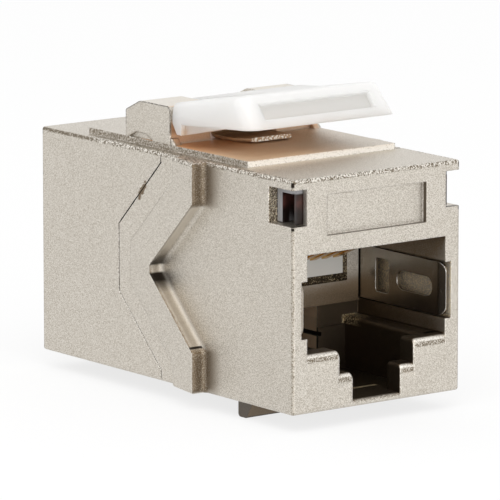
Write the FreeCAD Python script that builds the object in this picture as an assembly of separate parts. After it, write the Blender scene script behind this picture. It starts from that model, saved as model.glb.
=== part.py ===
import FreeCAD, Part
import math
import os

# Shielded keystone coupler: two die-cast shells, a sprung latch lever and a port at each end.
# Working frame: x across, y from the front face to the rear, z up from the underside, millimetres.
# Each finished piece is moved so that the hook stands on z = 0 and the body is centred on x = y = 0.

# Port opening in an end face
PORT_WIDTH = 12.0
PORT_TOP = 10.9
PLUG_LEDGE = 3.45
STEP_WIDTH = 6.6
STEP_FLOOR = 1.8
CHANNEL_WIDTH = 4.2
CHANNEL_FLOOR = 0.47
END_WALL = 1.4
LATCH_POCKET_WIDTH = 9.5
LATCH_FLOOR_START = 3.3
LATCH_FLOOR_DROP = 0.12
PORT_LENGTH = 9.45
PORT_CORNER_ROUND = 0.25
LEDGE_ROUND = 0.45
CHANNEL_LIP_ROUND = 0.25
RAMP_RUN = 0.35
RAMP_RISE = 0.45

# Body around the ports
SIDE_WALL = 1.25
BODY_HEIGHT = 16.1
BODY_DEPTH = 29.0
BODY_EDGE_ROUND = 0.2

# Chevron rib and parting line: offsets of one outline, measured back from the rib's front edge
CHEVRON_FRONT = 9.8
CHEVRON_REACH = 4.9
CHEVRON_POINT = 0.6
RIB_BAND = 2.95
RIB_PROUD_FRONT = 1.1
RIB_PROUD_REAR = 0.55
RIB_ROOT_ROUND = 0.25
CHEVRON_TURN = 45.0
PARTING_BEHIND_RIB = 2.1
PARTING_GAP = 0.1

# Plateau under the lever
PLATEAU_MARGIN = 0.85
PLATEAU_FRONT = 6.05
PLATEAU_LENGTH = 18.35
PLATEAU_RISE = 0.42

# Fixed hook under the front of the body
HOOK_WIDTH = 13.0
HOOK_DROP = 1.25
HOOK_FRONT = 5.35
HOOK_THICKNESS = 1.65
HOOK_LEAN = 0.7
HOOK_ROUND = 0.25

# Wall behind the port, with the contact window above its bar and the latch well below it
BACK_WALL = 0.5
WINDOW_HEIGHT = 3.9
WINDOW_SIDE = 0.8
SILL_DROP = 0.45
BAR_HEIGHT = 2.0
BAR_PROUD = 0.2
WELL_WIDTH = 4.75
WELL_GROOVE_BOTTOM = 2.85
WELL_GROOVE_HEIGHT = 0.3
WELL_GROOVE_DEPTH = 0.25

# Hollow between the two ports, and the sleeve of the rear shell that laps into the front one
HOLLOW_NARROWING = 0.3
HOLLOW_BOTTOM = 1.9
LAP_WALL = 0.5
LAP_BEHIND_PORT = 2.15
LAP_PAST_PARTING = 0.7
LAP_CLEARANCE = 0.05

# Corner windows on the front face with their plastic inserts, and the label recess
CORNER_BELOW_TOP = 0.7
CORNER_HEIGHT = 2.5
CORNER_FACE_CUT = 1.25
CORNER_POCKET = 2.7
CORNER_LIP = 0.5
CORNER_LENGTH = 2.65
INSERT_RECESS = 0.72
INSERT_CLEARANCE = 0.05
INSERT_FRONT_WALL = 0.2
INSERT_REAR_WALL = 0.55
INSERT_ROOF = 0.35
INSERT_SLOT_DEPTH = 1.5
LABEL_WIDTH = 8.6
LABEL_HEIGHT = 2.8
LABEL_BELOW_TOP = 1.25
LABEL_DEPTH = 0.35

# Ears that carry the lever, with heights above the plateau
EAR_GAP = 5.8
EAR_LENGTH = 5.15
EAR_RISE = 2.65
EAR_FRONT_ROUND = 0.35
EAR_SLOPE_LENGTH = 1.65
EAR_SLOPE_DROP = 0.78
EAR_CROWN_ROUND = 0.8
EAR_REAR_ROUND = 0.2
EAR_ARCH_FROM_REAR = 0.3
EAR_ARCH_LENGTH = 2.9
EAR_ARCH_CROWN = 1.1
EAR_ARCH_RISE = 0.42
EAR_ARCH_DEPTH = 0.2
EAR_ARCH_ROUND = 0.4
GUSSET_LENGTH = 0.55
GUSSET_RISE = 0.5
GUSSET_WIDTH = 0.6

# Lever, with heights above the plateau
PIVOT_BEHIND_PARTING = 2.6
PIVOT_RISE = 1.4
TRUNNION_RADIUS = 0.7
TRUNNION_LENGTH = 1.4
TRUNNION_CLEARANCE = 0.05
BARREL_RADIUS = 1.2
LEVER_SIDE_CLEARANCE = 0.15
LEVER_END_CLEARANCE = 0.3
LEVER_LENGTH = 8.9
LEVER_TAPER = 0.35
LEVER_TIP_RISE = 2.1
LEVER_CREST_BACK = 1.7
LEVER_CREST_RISE = 4.25
LEVER_HEEL_RISE = 2.95
LEVER_UNDER_RISE = 1.55
LEVER_CORNER_ROUND = 1.0
LEVER_EDGE_ROUND = 0.4
FOOT_THICKNESS = 1.0
FOOT_REAR_CUT = 0.5
FOOT_RISE = 0.8
WEB_LENGTH = 5.8
WEB_INSET = 0.35
WEB_THICKNESS = 0.8
NECK_RISE = 1.15
SPINE_BEND_FROM_HEEL = 2.9
SPINE_BEND_RISE = 3.75
SPINE_END_BEHIND_CREST = 0.4
SPINE_END_BELOW_CREST = 0.15
SPINE_ROUND = 0.35
GRIP_WIDTH = 9.6
GRIP_FROM_TIP = 0.75
GRIP_HEIGHT = 1.3
GRIP_DEPTH = 0.45
GRIP_FLOOR_ROUND = 0.3

# Hairpin spring under the lever's foot
SPRING_STRIP = 0.3
SPRING_WIDTH = 4.4
SPRING_FORWARD = 0.8
SPRING_LIFT = 0.12
SPRING_HEEL_RUN = 1.6
SPRING_HEEL_RADIUS = 1.5
SPRING_BEND_BEHIND_FOOT = 0.8
SPRING_BEND_INSIDE = 0.2
SPRING_TIP_CLEARANCE = 0.05
SPRING_NOSE_CHAMFER = 0.5

# Shield springs on the port's side walls
SHIELD_POCKET_DEPTH = 0.5
SHIELD_POCKET_BOTTOM = 5.15
SHIELD_POCKET_HEIGHT = 3.95
SHIELD_TAIL = 1.15
SHIELD_STRIP = 0.2
SHIELD_CLEARANCE = 0.1
SHIELD_CURL_START = 0.2
SHIELD_CURL_LENGTH = 0.6
SHIELD_CURL_ROUND = 0.6
SHIELD_CORNER_ROUND = 0.75
SHIELD_HOLE_START = 1.45
SHIELD_HOLE_LENGTH = 3.85
SHIELD_HOLE_HEIGHT = 1.35
SHIELD_HOLE_ROUND = 0.62
SHIELD_SLOT_START = 6.15
SHIELD_SLOT_LENGTH = 1.5
SHIELD_SLOT_HEIGHT = 2.4
SHIELD_SLOT_ROUND = 0.25

# Circuit board between the two ports
BOARD_THICKNESS = 1.6
BOARD_CLEARANCE = 0.1
BOARD_OVER_FOOT = 0.15

# Contacts and the carriers that hold them
CONTACT_COUNT = 8
CONTACT_PITCH = 1.016
CONTACT_WIDTH = 0.5
CONTACT_STRIP = 0.25
CONTACT_SEAT = 0.02
CONTACT_REACH = 7.75
CONTACT_BEND_RADIUS = 0.45
CONTACT_FOOT_RADIUS = 0.3
CONTACT_FOOT = 0.7
CONTACT_TIP_BEFORE_WALL = 0.4
CONTACT_TIP_DROP = 2.4
CARRIER_PLATE = 0.65
CARRIER_PLATE_REACH = 5.45
CARRIER_PLATE_SIDE = 0.85
CARRIER_CLEARANCE = 0.05
CARRIER_POCKET_REACH = 6.65
CARRIER_POCKET_ROOM = 0.35

# Values worked out from the dimensions above
BODY_WIDTH = PORT_WIDTH + 2 * SIDE_WALL
HALF_WIDTH = BODY_WIDTH / 2
MID_DEPTH = BODY_DEPTH / 2
PLATEAU_WIDTH = BODY_WIDTH - 2 * PLATEAU_MARGIN
PLATEAU_TOP = BODY_HEIGHT + PLATEAU_RISE
PARTING_OFFSET = RIB_BAND + PARTING_BEHIND_RIB
PARTING_TOP = CHEVRON_FRONT + PARTING_OFFSET
EAR_FRONT = PARTING_TOP + PARTING_GAP / 2
PIVOT_DEPTH = PARTING_TOP + PIVOT_BEHIND_PARTING
PIVOT_HEIGHT = PLATEAU_TOP + PIVOT_RISE
LEVER_WIDTH = PLATEAU_WIDTH
ARM_WIDTH = EAR_GAP - 2 * LEVER_SIDE_CLEARANCE
LEVER_HEEL = EAR_FRONT - LEVER_END_CLEARANCE
LEVER_TIP = LEVER_HEEL - LEVER_LENGTH
LEVER_TIP_HEIGHT = PLATEAU_TOP + LEVER_TIP_RISE
LEVER_CREST = LEVER_TIP + LEVER_CREST_BACK
LEVER_CREST_HEIGHT = PLATEAU_TOP + LEVER_CREST_RISE
LEVER_UNDER = PLATEAU_TOP + LEVER_UNDER_RISE
FOOT_FRONT = LEVER_HEEL - FOOT_THICKNESS
FOOT_BOTTOM = PLATEAU_TOP + FOOT_RISE
NECK_BOTTOM = PLATEAU_TOP + NECK_RISE
WALL_END = PORT_LENGTH + BACK_WALL
WINDOW_SILL = PORT_TOP - WINDOW_HEIGHT
BAR_BOTTOM = WINDOW_SILL - BAR_HEIGHT
SHIELD_POCKET_TOP = SHIELD_POCKET_BOTTOM + SHIELD_POCKET_HEIGHT
SHIELD_POCKET_END = PORT_LENGTH + SHIELD_TAIL
BOARD_FRONT = MID_DEPTH - BOARD_THICKNESS / 2
CARRIER_PLATE_BOTTOM = PORT_TOP + CARRIER_CLEARANCE
CARRIER_TOP = CARRIER_PLATE_BOTTOM + CARRIER_PLATE
CONTACT_RUN = CARRIER_TOP + CONTACT_SEAT + CONTACT_STRIP / 2
HOLLOW_WIDTH = PORT_WIDTH - 2 * HOLLOW_NARROWING
HOLLOW_TOP = CONTACT_RUN + CONTACT_FOOT + BOARD_OVER_FOOT + BOARD_CLEARANCE
WINDOW_WIDTH = HOLLOW_WIDTH - 2 * WINDOW_SIDE
CARRIER_PLATE_WIDTH = PORT_WIDTH - 2 * CARRIER_PLATE_SIDE
LAP_FRONT = PORT_LENGTH + LAP_BEHIND_PORT
LAP_REAR = PARTING_TOP + CHEVRON_REACH + LAP_PAST_PARTING
CORNER_TOP = BODY_HEIGHT - CORNER_BELOW_TOP
CORNER_BOTTOM = CORNER_TOP - CORNER_HEIGHT
LABEL_TOP = BODY_HEIGHT - LABEL_BELOW_TOP
BEYOND = 5.0
SMALLEST_EDGE = 1e-6


def block(x_low, x_high, y_low, y_high, z_low, z_high):
    """Box between two corners."""
    corner = FreeCAD.Vector(x_low, y_low, z_low)
    return Part.makeBox(x_high - x_low, y_high - y_low, z_high - z_low, corner)


def slab(width, y_low, y_high, z_low, z_high):
    """Box centred on x = 0."""
    return block(-width / 2, width / 2, y_low, y_high, z_low, z_high)


def on_side(x):
    """Map of an outline's (y, z) onto the plane at x."""
    return lambda y, z: FreeCAD.Vector(x, y, z)


def on_plan(z):
    """Map of an outline's (x, y) onto the plane at height z."""
    return lambda x, y: FreeCAD.Vector(x, y, z)


def on_face(y):
    """Map of an outline's (x, z) onto the plane at depth y."""
    return lambda x, z: FreeCAD.Vector(x, y, z)


def rounded_edges(points, rounds):
    """Straight edges round a closed outline, with a tangent arc of the given radius at listed corners."""
    count = len(points)
    ends = []
    arcs = {}
    for index, point in enumerate(points):
        if index not in rounds:
            ends.append((point, point))
            continue
        radius = rounds[index]
        back = (points[index - 1] - point).normalize()
        ahead = (points[(index + 1) % count] - point).normalize()
        half_angle = back.getAngle(ahead) / 2
        tangent = radius / math.tan(half_angle)
        bisector = (back + ahead).normalize()
        middle = point + bisector * (radius / math.sin(half_angle) - radius)
        first = point + back * tangent
        last = point + ahead * tangent
        ends.append((first, last))
        arcs[index] = Part.Arc(first, middle, last).toShape()
    edges = []
    for index in range(count):
        if index in arcs:
            edges.append(arcs[index])
        leaving = ends[index][1]
        arriving = ends[(index + 1) % count][0]
        if leaving.distanceToPoint(arriving) > SMALLEST_EDGE:
            edges.append(Part.makeLine(leaving, arriving))
    return edges


def prism(outline, place, travel, rounds=None):
    """Outline of (u, v) pairs, placed in space and pushed along the travel vector."""
    points = [place(u, v) for u, v in outline]
    wire = Part.Wire(rounded_edges(points, rounds or {}))
    return Part.Face(wire).extrude(travel)


def across(outline, width, rounds=None):
    """Outline of (y, z) pairs pushed across the body, centred on x = 0."""
    return prism(outline, on_side(-width / 2), FreeCAD.Vector(width, 0, 0), rounds)


def strip_outline(path, rounds, thickness):
    """Outline of a bent strip and its corner radii, from its mid-line and the radii of its bends."""
    points = [FreeCAD.Vector(u, v, 0) for u, v in path]
    runs = [(end - start).normalize() for start, end in zip(points, points[1:])]
    last = len(points) - 1
    left = []
    right = []
    corner_rounds = {}
    for index, point in enumerate(points):
        before = runs[max(index - 1, 0)]
        after = runs[min(index, last - 1)]
        half_turn = before.getAngle(after) / 2
        square = FreeCAD.Vector(-before.y - after.y, before.x + after.x, 0).normalize()
        mitre = square * (thickness / 2 / math.cos(half_turn))
        left.append(point + mitre)
        right.append(point - mitre)
        if index in rounds:
            inward = math.copysign(thickness / 2, before.cross(after).z)
            corner_rounds[index] = rounds[index] - inward
            corner_rounds[2 * last + 1 - index] = rounds[index] + inward
    outline = [(point.x, point.y) for point in left + right[::-1]]
    return outline, corner_rounds


def turned_to_rear(shape):
    """Copy of a front piece turned half round about the body's middle."""
    copy = shape.copy()
    copy.rotate(FreeCAD.Vector(0, MID_DEPTH, 0), FreeCAD.Vector(0, 0, 1), 180)
    return copy


def mirrored(shape):
    """Copy of a left-hand piece on the right-hand side."""
    return shape.mirror(FreeCAD.Vector(0, 0, 0), FreeCAD.Vector(1, 0, 0))


def chevron(offset):
    """Chevron outline (y, z) from underside to top, moved back square to itself by the offset."""
    middle = BODY_HEIGHT / 2
    straight = CHEVRON_FRONT + offset
    point = straight + CHEVRON_REACH
    flat = CHEVRON_POINT / 2 + offset * math.tan(math.radians(CHEVRON_TURN / 2))
    knee = flat + CHEVRON_REACH
    lower = [(straight, 0.0), (straight, middle - knee), (point, middle - flat)]
    upper = [(straight, BODY_HEIGHT), (straight, middle + knee), (point, middle + flat)]
    return lower + upper[::-1]


def quad(a, b, c, d):
    """Flat four-sided face."""
    return Part.Face(Part.makePolygon([a, b, c, d, a]))


def left_rib():
    """Chevron band on the left side, sloping from its front edge down to its rear edge."""
    side = -HALF_WIDTH
    root = side + BODY_EDGE_ROUND
    ridge = [FreeCAD.Vector(side - RIB_PROUD_FRONT, y, z) for y, z in chevron(0.0)]
    toe = [FreeCAD.Vector(side - RIB_PROUD_REAR, y, z) for y, z in chevron(RIB_BAND)]
    ridge_root = [FreeCAD.Vector(root, point.y, point.z) for point in ridge]
    toe_root = [FreeCAD.Vector(root, point.y, point.z) for point in toe]
    lines = (ridge, toe, toe_root, ridge_root)
    faces = []
    for here, there in zip(lines, lines[1:] + lines[:1]):
        for low in range(len(here) - 1):
            faces.append(quad(here[low], here[low + 1], there[low + 1], there[low]))
    for end in (0, -1):
        faces.append(quad(*[line[end] for line in lines]))
    solid = Part.Solid(Part.Shell(faces))
    if solid.Volume < 0:
        solid.reverse()
    return solid


def rib_root_edges(form):
    """Edges where the front walls of the ribs stand on the body's sides."""
    found = []
    for side in (-1, 1):
        root = Part.makePolygon([on_side(side * HALF_WIDTH)(y, z) for y, z in chevron(0.0)])
        for edge in form.Edges:
            middle = Part.Vertex(edge.valueAt((edge.FirstParameter + edge.LastParameter) / 2))
            ends_on_root = all(root.distToShape(end)[0] < SMALLEST_EDGE for end in edge.Vertexes)
            if ends_on_root and root.distToShape(middle)[0] < SMALLEST_EDGE:
                found.append(edge)
    return found


def hook():
    """Lip under the body that catches the panel's lower edge."""
    rear = HOOK_FRONT + HOOK_THICKNESS
    outline = [
        (HOOK_FRONT, BODY_EDGE_ROUND),
        (HOOK_FRONT, 0.0),
        (HOOK_FRONT + HOOK_LEAN, -HOOK_DROP),
        (rear, -HOOK_DROP),
        (rear, BODY_EDGE_ROUND),
    ]
    return across(outline, HOOK_WIDTH, {2: HOOK_ROUND, 3: HOOK_ROUND})


def rim_edges(form):
    """Edges round the flat top and underside, and the uprights of the two end faces."""
    found = []
    for edge in form.Edges:
        box = edge.BoundBox
        level = box.ZLength < SMALLEST_EDGE and min(box.ZMin, BODY_HEIGHT - box.ZMax) < SMALLEST_EDGE
        at_end = box.YLength < SMALLEST_EDGE and min(box.YMin, BODY_DEPTH - box.YMax) < SMALLEST_EDGE
        if level or at_end:
            found.append(edge)
    return found


def outer_form():
    """Cast outside of both shells, before they are parted and hollowed."""
    rib = left_rib()
    form = slab(BODY_WIDTH, 0.0, BODY_DEPTH, 0.0, BODY_HEIGHT).fuse([rib, mirrored(rib)]).removeSplitter()
    form = form.makeFillet(RIB_ROOT_ROUND, rib_root_edges(form))
    form = form.makeFillet(BODY_EDGE_ROUND, rim_edges(form))
    plateau_rear = PLATEAU_FRONT + PLATEAU_LENGTH
    plateau = slab(PLATEAU_WIDTH, PLATEAU_FRONT, plateau_rear, HOLLOW_TOP + LAP_WALL, PLATEAU_TOP)
    return form.fuse([plateau, hook()] + gussets())


def gussets():
    """Pair of small slopes on the plateau, in front of the outer ends of the ears."""
    front = PARTING_TOP - GUSSET_LENGTH
    outline = [
        (front, BODY_HEIGHT),
        (front, PLATEAU_TOP),
        (PARTING_TOP, PLATEAU_TOP + GUSSET_RISE),
        (PARTING_TOP, BODY_HEIGHT),
    ]
    inner = PLATEAU_WIDTH / 2 - GUSSET_WIDTH
    return [
        prism(outline, on_side(side * inner), FreeCAD.Vector(side * GUSSET_WIDTH, 0, 0))
        for side in (-1, 1)
    ]


def port_cut():
    """Room taken out of the front end for a plug, its latch and the shield springs."""
    face_half = PORT_WIDTH / 2
    pocket_half = face_half + SHIELD_POCKET_DEPTH
    right = [
        (face_half, PORT_TOP),
        (face_half, SHIELD_POCKET_TOP),
        (pocket_half, SHIELD_POCKET_TOP),
        (pocket_half, SHIELD_POCKET_BOTTOM),
        (face_half, SHIELD_POCKET_BOTTOM),
        (face_half, PLUG_LEDGE),
        (STEP_WIDTH / 2, PLUG_LEDGE),
        (STEP_WIDTH / 2, STEP_FLOOR),
        (CHANNEL_WIDTH / 2, STEP_FLOOR),
        (CHANNEL_WIDTH / 2, CHANNEL_FLOOR),
    ]
    left = [(-x, z) for x, z in right[::-1]]
    rounds = {}
    for corner in (right.index((STEP_WIDTH / 2, PLUG_LEDGE)), right.index((CHANNEL_WIDTH / 2, STEP_FLOOR))):
        rounds[corner] = PORT_CORNER_ROUND
        rounds[2 * len(right) - 1 - corner] = PORT_CORNER_ROUND
    mouth = prism(right + left, on_face(-BEYOND), FreeCAD.Vector(0, BEYOND + PORT_LENGTH, 0), rounds)
    lips = [lip_round(-CHANNEL_WIDTH / 2, CHANNEL_WIDTH / 2, CHANNEL_FLOOR, CHANNEL_LIP_ROUND)]
    for side in (-1, 1):
        lips.append(lip_round(side * STEP_WIDTH / 2, side * face_half, PLUG_LEDGE, LEDGE_ROUND))
        lips.append(lip_round(side * CHANNEL_WIDTH / 2, side * STEP_WIDTH / 2, STEP_FLOOR, LEDGE_ROUND))
    latch_pocket = slab(LATCH_POCKET_WIDTH, END_WALL, PORT_LENGTH, CHANNEL_FLOOR, PLUG_LEDGE)
    latch_floor = CHANNEL_FLOOR - LATCH_FLOOR_DROP
    low_floor = slab(LATCH_POCKET_WIDTH, LATCH_FLOOR_START, PORT_LENGTH, latch_floor, CHANNEL_FLOOR)
    tail_slots = []
    for side in (-1, 1):
        low, high = sorted((side * (face_half - SHIELD_CLEARANCE), side * pocket_half))
        tail_slots.append(
            block(low, high, PORT_LENGTH, SHIELD_POCKET_END, SHIELD_POCKET_BOTTOM, SHIELD_POCKET_TOP)
        )
    window = slab(WINDOW_WIDTH, PORT_LENGTH, WALL_END, WINDOW_SILL, PORT_TOP)
    sill_slope = across(
        [
            (PORT_LENGTH, WINDOW_SILL),
            (PORT_LENGTH, WINDOW_SILL - SILL_DROP),
            (WALL_END, WINDOW_SILL),
        ],
        WINDOW_WIDTH,
    )
    under_bar = slab(PORT_WIDTH, PORT_LENGTH, PORT_LENGTH + BAR_PROUD, PLUG_LEDGE, BAR_BOTTOM)
    well = slab(WELL_WIDTH, PORT_LENGTH, LAP_FRONT, HOLLOW_BOTTOM, BAR_BOTTOM)
    groove_width = WELL_WIDTH + 2 * WELL_GROOVE_DEPTH
    groove_top = WELL_GROOVE_BOTTOM + WELL_GROOVE_HEIGHT
    well_groove = slab(groove_width, PORT_LENGTH, LAP_FRONT, WELL_GROOVE_BOTTOM, groove_top)
    carrier_room = slab(
        CARRIER_PLATE_WIDTH + 2 * CARRIER_CLEARANCE,
        PORT_LENGTH - CARRIER_POCKET_REACH,
        WALL_END,
        PORT_TOP,
        CONTACT_RUN + CARRIER_POCKET_ROOM,
    )
    wall_cuts = [window, sill_slope, under_bar, well, well_groove, carrier_room]
    room = mouth.fuse([latch_pocket, low_floor] + wall_cuts + tail_slots + lips)
    return room.cut(ledge_ramps())


def ledge_ramps():
    """Pair of slopes at the rear ends of the ledges, up against the back wall."""
    outline = [
        (PORT_LENGTH - RAMP_RUN, PLUG_LEDGE),
        (PORT_LENGTH + BAR_PROUD, PLUG_LEDGE),
        (PORT_LENGTH + BAR_PROUD, PLUG_LEDGE + RAMP_RISE),
    ]
    inner = LATCH_POCKET_WIDTH / 2
    width = PORT_WIDTH / 2 - inner
    return [prism(outline, on_side(side * inner), FreeCAD.Vector(side * width, 0, 0)) for side in (-1, 1)]


def lip_round(x_from, x_to, level, radius):
    """Cutter that rounds the front edge of a ledge at the given height."""
    bulge = radius * (1 - math.sqrt(0.5))
    low = FreeCAD.Vector(x_from, 0, level - radius)
    edge = FreeCAD.Vector(x_from, 0, level)
    middle = FreeCAD.Vector(x_from, bulge, level - bulge)
    back = FreeCAD.Vector(x_from, radius, level)
    round_side = Part.Arc(back, middle, low).toShape()
    wire = Part.Wire([Part.makeLine(low, edge), Part.makeLine(edge, back), round_side])
    return Part.Face(wire).extrude(FreeCAD.Vector(x_to - x_from, 0, 0))


def hollow():
    """Room between the two back walls, longer above their bars than below them."""
    upper = slab(HOLLOW_WIDTH, WALL_END, BODY_DEPTH - WALL_END, BAR_BOTTOM, HOLLOW_TOP)
    lower = slab(HOLLOW_WIDTH, LAP_FRONT, BODY_DEPTH - LAP_FRONT, HOLLOW_BOTTOM, BAR_BOTTOM)
    return upper.fuse(lower)


def front_details():
    """Corner windows and label recess taken out of the front face."""
    cuts = []
    for side in (-1, 1):
        for cut, start, end in (
            (CORNER_FACE_CUT, -BEYOND, CORNER_LIP),
            (CORNER_POCKET, CORNER_LIP, CORNER_LENGTH),
        ):
            low, high = sorted((side * (HALF_WIDTH - cut), side * (HALF_WIDTH + BEYOND)))
            cuts.append(block(low, high, start, end, CORNER_BOTTOM, CORNER_TOP))
    cuts.append(slab(LABEL_WIDTH, -BEYOND, LABEL_DEPTH, LABEL_TOP - LABEL_HEIGHT, LABEL_TOP))
    return cuts


def left_corner_insert():
    """Plastic piece set back in the left corner window, with a slot open to the side and below."""
    outside = INSERT_RECESS - HALF_WIDTH
    inside = CORNER_POCKET - HALF_WIDTH - INSERT_CLEARANCE
    front = CORNER_LIP + INSERT_CLEARANCE
    rear = CORNER_LENGTH - INSERT_CLEARANCE
    top = CORNER_TOP - INSERT_CLEARANCE
    body = block(outside, inside, front, rear, CORNER_BOTTOM + INSERT_CLEARANCE, top)
    slot = block(
        outside,
        outside + INSERT_SLOT_DEPTH,
        front + INSERT_FRONT_WALL,
        rear - INSERT_REAR_WALL,
        CORNER_BOTTOM,
        top - INSERT_ROOF,
    )
    return body.cut(slot)


def parting_edge(shift):
    """Parting line (y, z) on the sides, moved by the shift and run past the underside and the top."""
    line = [(y + shift, z) for y, z in chevron(PARTING_OFFSET)]
    foot = (line[0][0], -BEYOND)
    head = (line[-1][0], BODY_HEIGHT + BEYOND)
    return [foot] + line[1:-1] + [head]


def front_side_of_parting():
    """Everything in front of the parting surface, less half the gap."""
    line = parting_edge(-PARTING_GAP / 2)
    outline = [(-BEYOND, line[0][1])] + line + [(-BEYOND, line[-1][1])]
    return across(outline, BODY_WIDTH + 2 * BEYOND)


def rear_side_of_parting():
    """Everything behind the parting surface, less half the gap."""
    line = parting_edge(PARTING_GAP / 2)
    end = BODY_DEPTH + BEYOND
    outline = line + [(end, line[-1][1]), (end, line[0][1])]
    return across(outline, BODY_WIDTH + 2 * BEYOND)


def lap(clearance):
    """Block of the sleeve that the rear shell pushes into the front one."""
    wall = LAP_WALL + clearance
    return slab(
        HOLLOW_WIDTH + 2 * wall,
        LAP_FRONT - clearance,
        LAP_REAR + clearance,
        HOLLOW_BOTTOM - wall,
        HOLLOW_TOP + wall,
    )


def ears():
    """Pair of ears on the rear shell, each with a blind trunnion socket and a shallow arch outside."""
    rear = EAR_FRONT + EAR_LENGTH
    top = PLATEAU_TOP + EAR_RISE
    outline = [
        (EAR_FRONT, BODY_HEIGHT),
        (EAR_FRONT, top),
        (rear - EAR_SLOPE_LENGTH, top),
        (rear, top - EAR_SLOPE_DROP),
        (rear, BODY_HEIGHT),
    ]
    rounds = {1: EAR_FRONT_ROUND, 2: EAR_CROWN_ROUND, 3: EAR_REAR_ROUND}
    thickness = (PLATEAU_WIDTH - EAR_GAP) / 2
    arch_rear = rear - EAR_ARCH_FROM_REAR
    arch_front = arch_rear - EAR_ARCH_LENGTH
    haunch = (EAR_ARCH_LENGTH - EAR_ARCH_CROWN) / 2
    arch_top = PLATEAU_TOP + EAR_ARCH_RISE
    arch_outline = [
        (arch_front, PLATEAU_TOP),
        (arch_front + haunch, arch_top),
        (arch_rear - haunch, arch_top),
        (arch_rear, PLATEAU_TOP),
    ]
    pair = []
    for side in (-1, 1):
        inner = side * EAR_GAP / 2
        outward = FreeCAD.Vector(side, 0, 0)
        ear = prism(outline, on_side(inner), outward * thickness, rounds)
        socket = Part.makeCylinder(
            TRUNNION_RADIUS + TRUNNION_CLEARANCE,
            TRUNNION_LENGTH + LEVER_END_CLEARANCE,
            FreeCAD.Vector(inner, PIVOT_DEPTH, PIVOT_HEIGHT),
            outward,
        )
        arch_floor = on_side(inner + side * (thickness - EAR_ARCH_DEPTH))
        arch_rounds = {1: EAR_ARCH_ROUND, 2: EAR_ARCH_ROUND}
        arch = prism(arch_outline, arch_floor, outward * BEYOND, arch_rounds)
        pair.append(ear.cut([socket, arch]))
    return pair


def front_shell(outer):
    """Front casting: port face, collar, hook and the chevron sides."""
    shell = outer.common(front_side_of_parting())
    return shell.cut([port_cut(), hollow(), lap(LAP_CLEARANCE)] + front_details()).removeSplitter()


def rear_shell(outer):
    """Rear casting: second port, ears, and the sleeve that enters the front shell."""
    shell = outer.common(rear_side_of_parting()).fuse(ears() + [lap(0.0)])
    return shell.cut([turned_to_rear(port_cut()), hollow()]).removeSplitter()


def lever_plate():
    """Wedge-shaped finger plate in front of the ears, with its foot and grip recess."""
    outline = [
        (LEVER_TIP, LEVER_TIP_HEIGHT),
        (LEVER_CREST, LEVER_CREST_HEIGHT),
        (LEVER_HEEL, PLATEAU_TOP + LEVER_HEEL_RISE),
        (LEVER_HEEL, LEVER_UNDER),
        (FOOT_FRONT, LEVER_UNDER),
    ]
    half = LEVER_WIDTH / 2
    silhouette = [
        (-half, LEVER_UNDER),
        (half, LEVER_UNDER),
        (half, LEVER_TIP_HEIGHT),
        (half - LEVER_TAPER, LEVER_CREST_HEIGHT),
        (LEVER_TAPER - half, LEVER_CREST_HEIGHT),
        (-half, LEVER_TIP_HEIGHT),
    ]
    wedge = across(outline, LEVER_WIDTH)
    wedge = wedge.common(prism(silhouette, on_face(LEVER_TIP), FreeCAD.Vector(0, LEVER_LENGTH, 0)))
    wedge = wedge.makeFillet(LEVER_CORNER_ROUND, [edge for edge in wedge.Edges if is_front_corner(edge)])
    wedge = wedge.makeFillet(LEVER_EDGE_ROUND, [edge for edge in wedge.Edges if is_top_edge(edge)])
    foot_outline = [
        (FOOT_FRONT, LEVER_UNDER),
        (LEVER_HEEL, LEVER_UNDER),
        (LEVER_HEEL - FOOT_REAR_CUT, FOOT_BOTTOM),
        (FOOT_FRONT, FOOT_BOTTOM),
    ]
    relief = slab(EAR_GAP, FOOT_FRONT, LEVER_HEEL, FOOT_BOTTOM, NECK_BOTTOM)
    foot = across(foot_outline, LEVER_WIDTH).cut(relief)
    return wedge.fuse([foot] + foot_webs()).cut(grip_recess())


def foot_webs():
    """Pair of webs under the finger plate that stiffen its foot."""
    outline = [
        (FOOT_FRONT, FOOT_BOTTOM),
        (FOOT_FRONT, LEVER_TIP_HEIGHT),
        (FOOT_FRONT - WEB_LENGTH, LEVER_TIP_HEIGHT),
    ]
    outer = LEVER_WIDTH / 2 - WEB_INSET
    travel = FreeCAD.Vector(WEB_THICKNESS, 0, 0)
    return [prism(outline, on_side(x), travel) for x in (-outer, outer - WEB_THICKNESS)]


def is_front_corner(edge):
    """True for the upright edges at the sides of the lever's sloping front face."""
    box = edge.BoundBox
    return box.YMax < LEVER_CREST + SMALLEST_EDGE and box.ZLength > LEVER_CREST_BACK / 2


def is_top_edge(edge):
    """True for the edges round the lever's top face."""
    box = edge.BoundBox
    above = PLATEAU_TOP + LEVER_HEEL_RISE - LEVER_EDGE_ROUND
    slope = (LEVER_CREST_RISE - LEVER_HEEL_RISE) / (LEVER_HEEL - LEVER_CREST)
    drops = [LEVER_CREST_HEIGHT - slope * (end.Y - LEVER_CREST) - end.Z for end in edge.Vertexes]
    lies_on_top = all(abs(drop) < LEVER_EDGE_ROUND / 2 for drop in drops)
    return lies_on_top and box.ZMin > above and box.YMin < LEVER_HEEL - SMALLEST_EDGE


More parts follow.
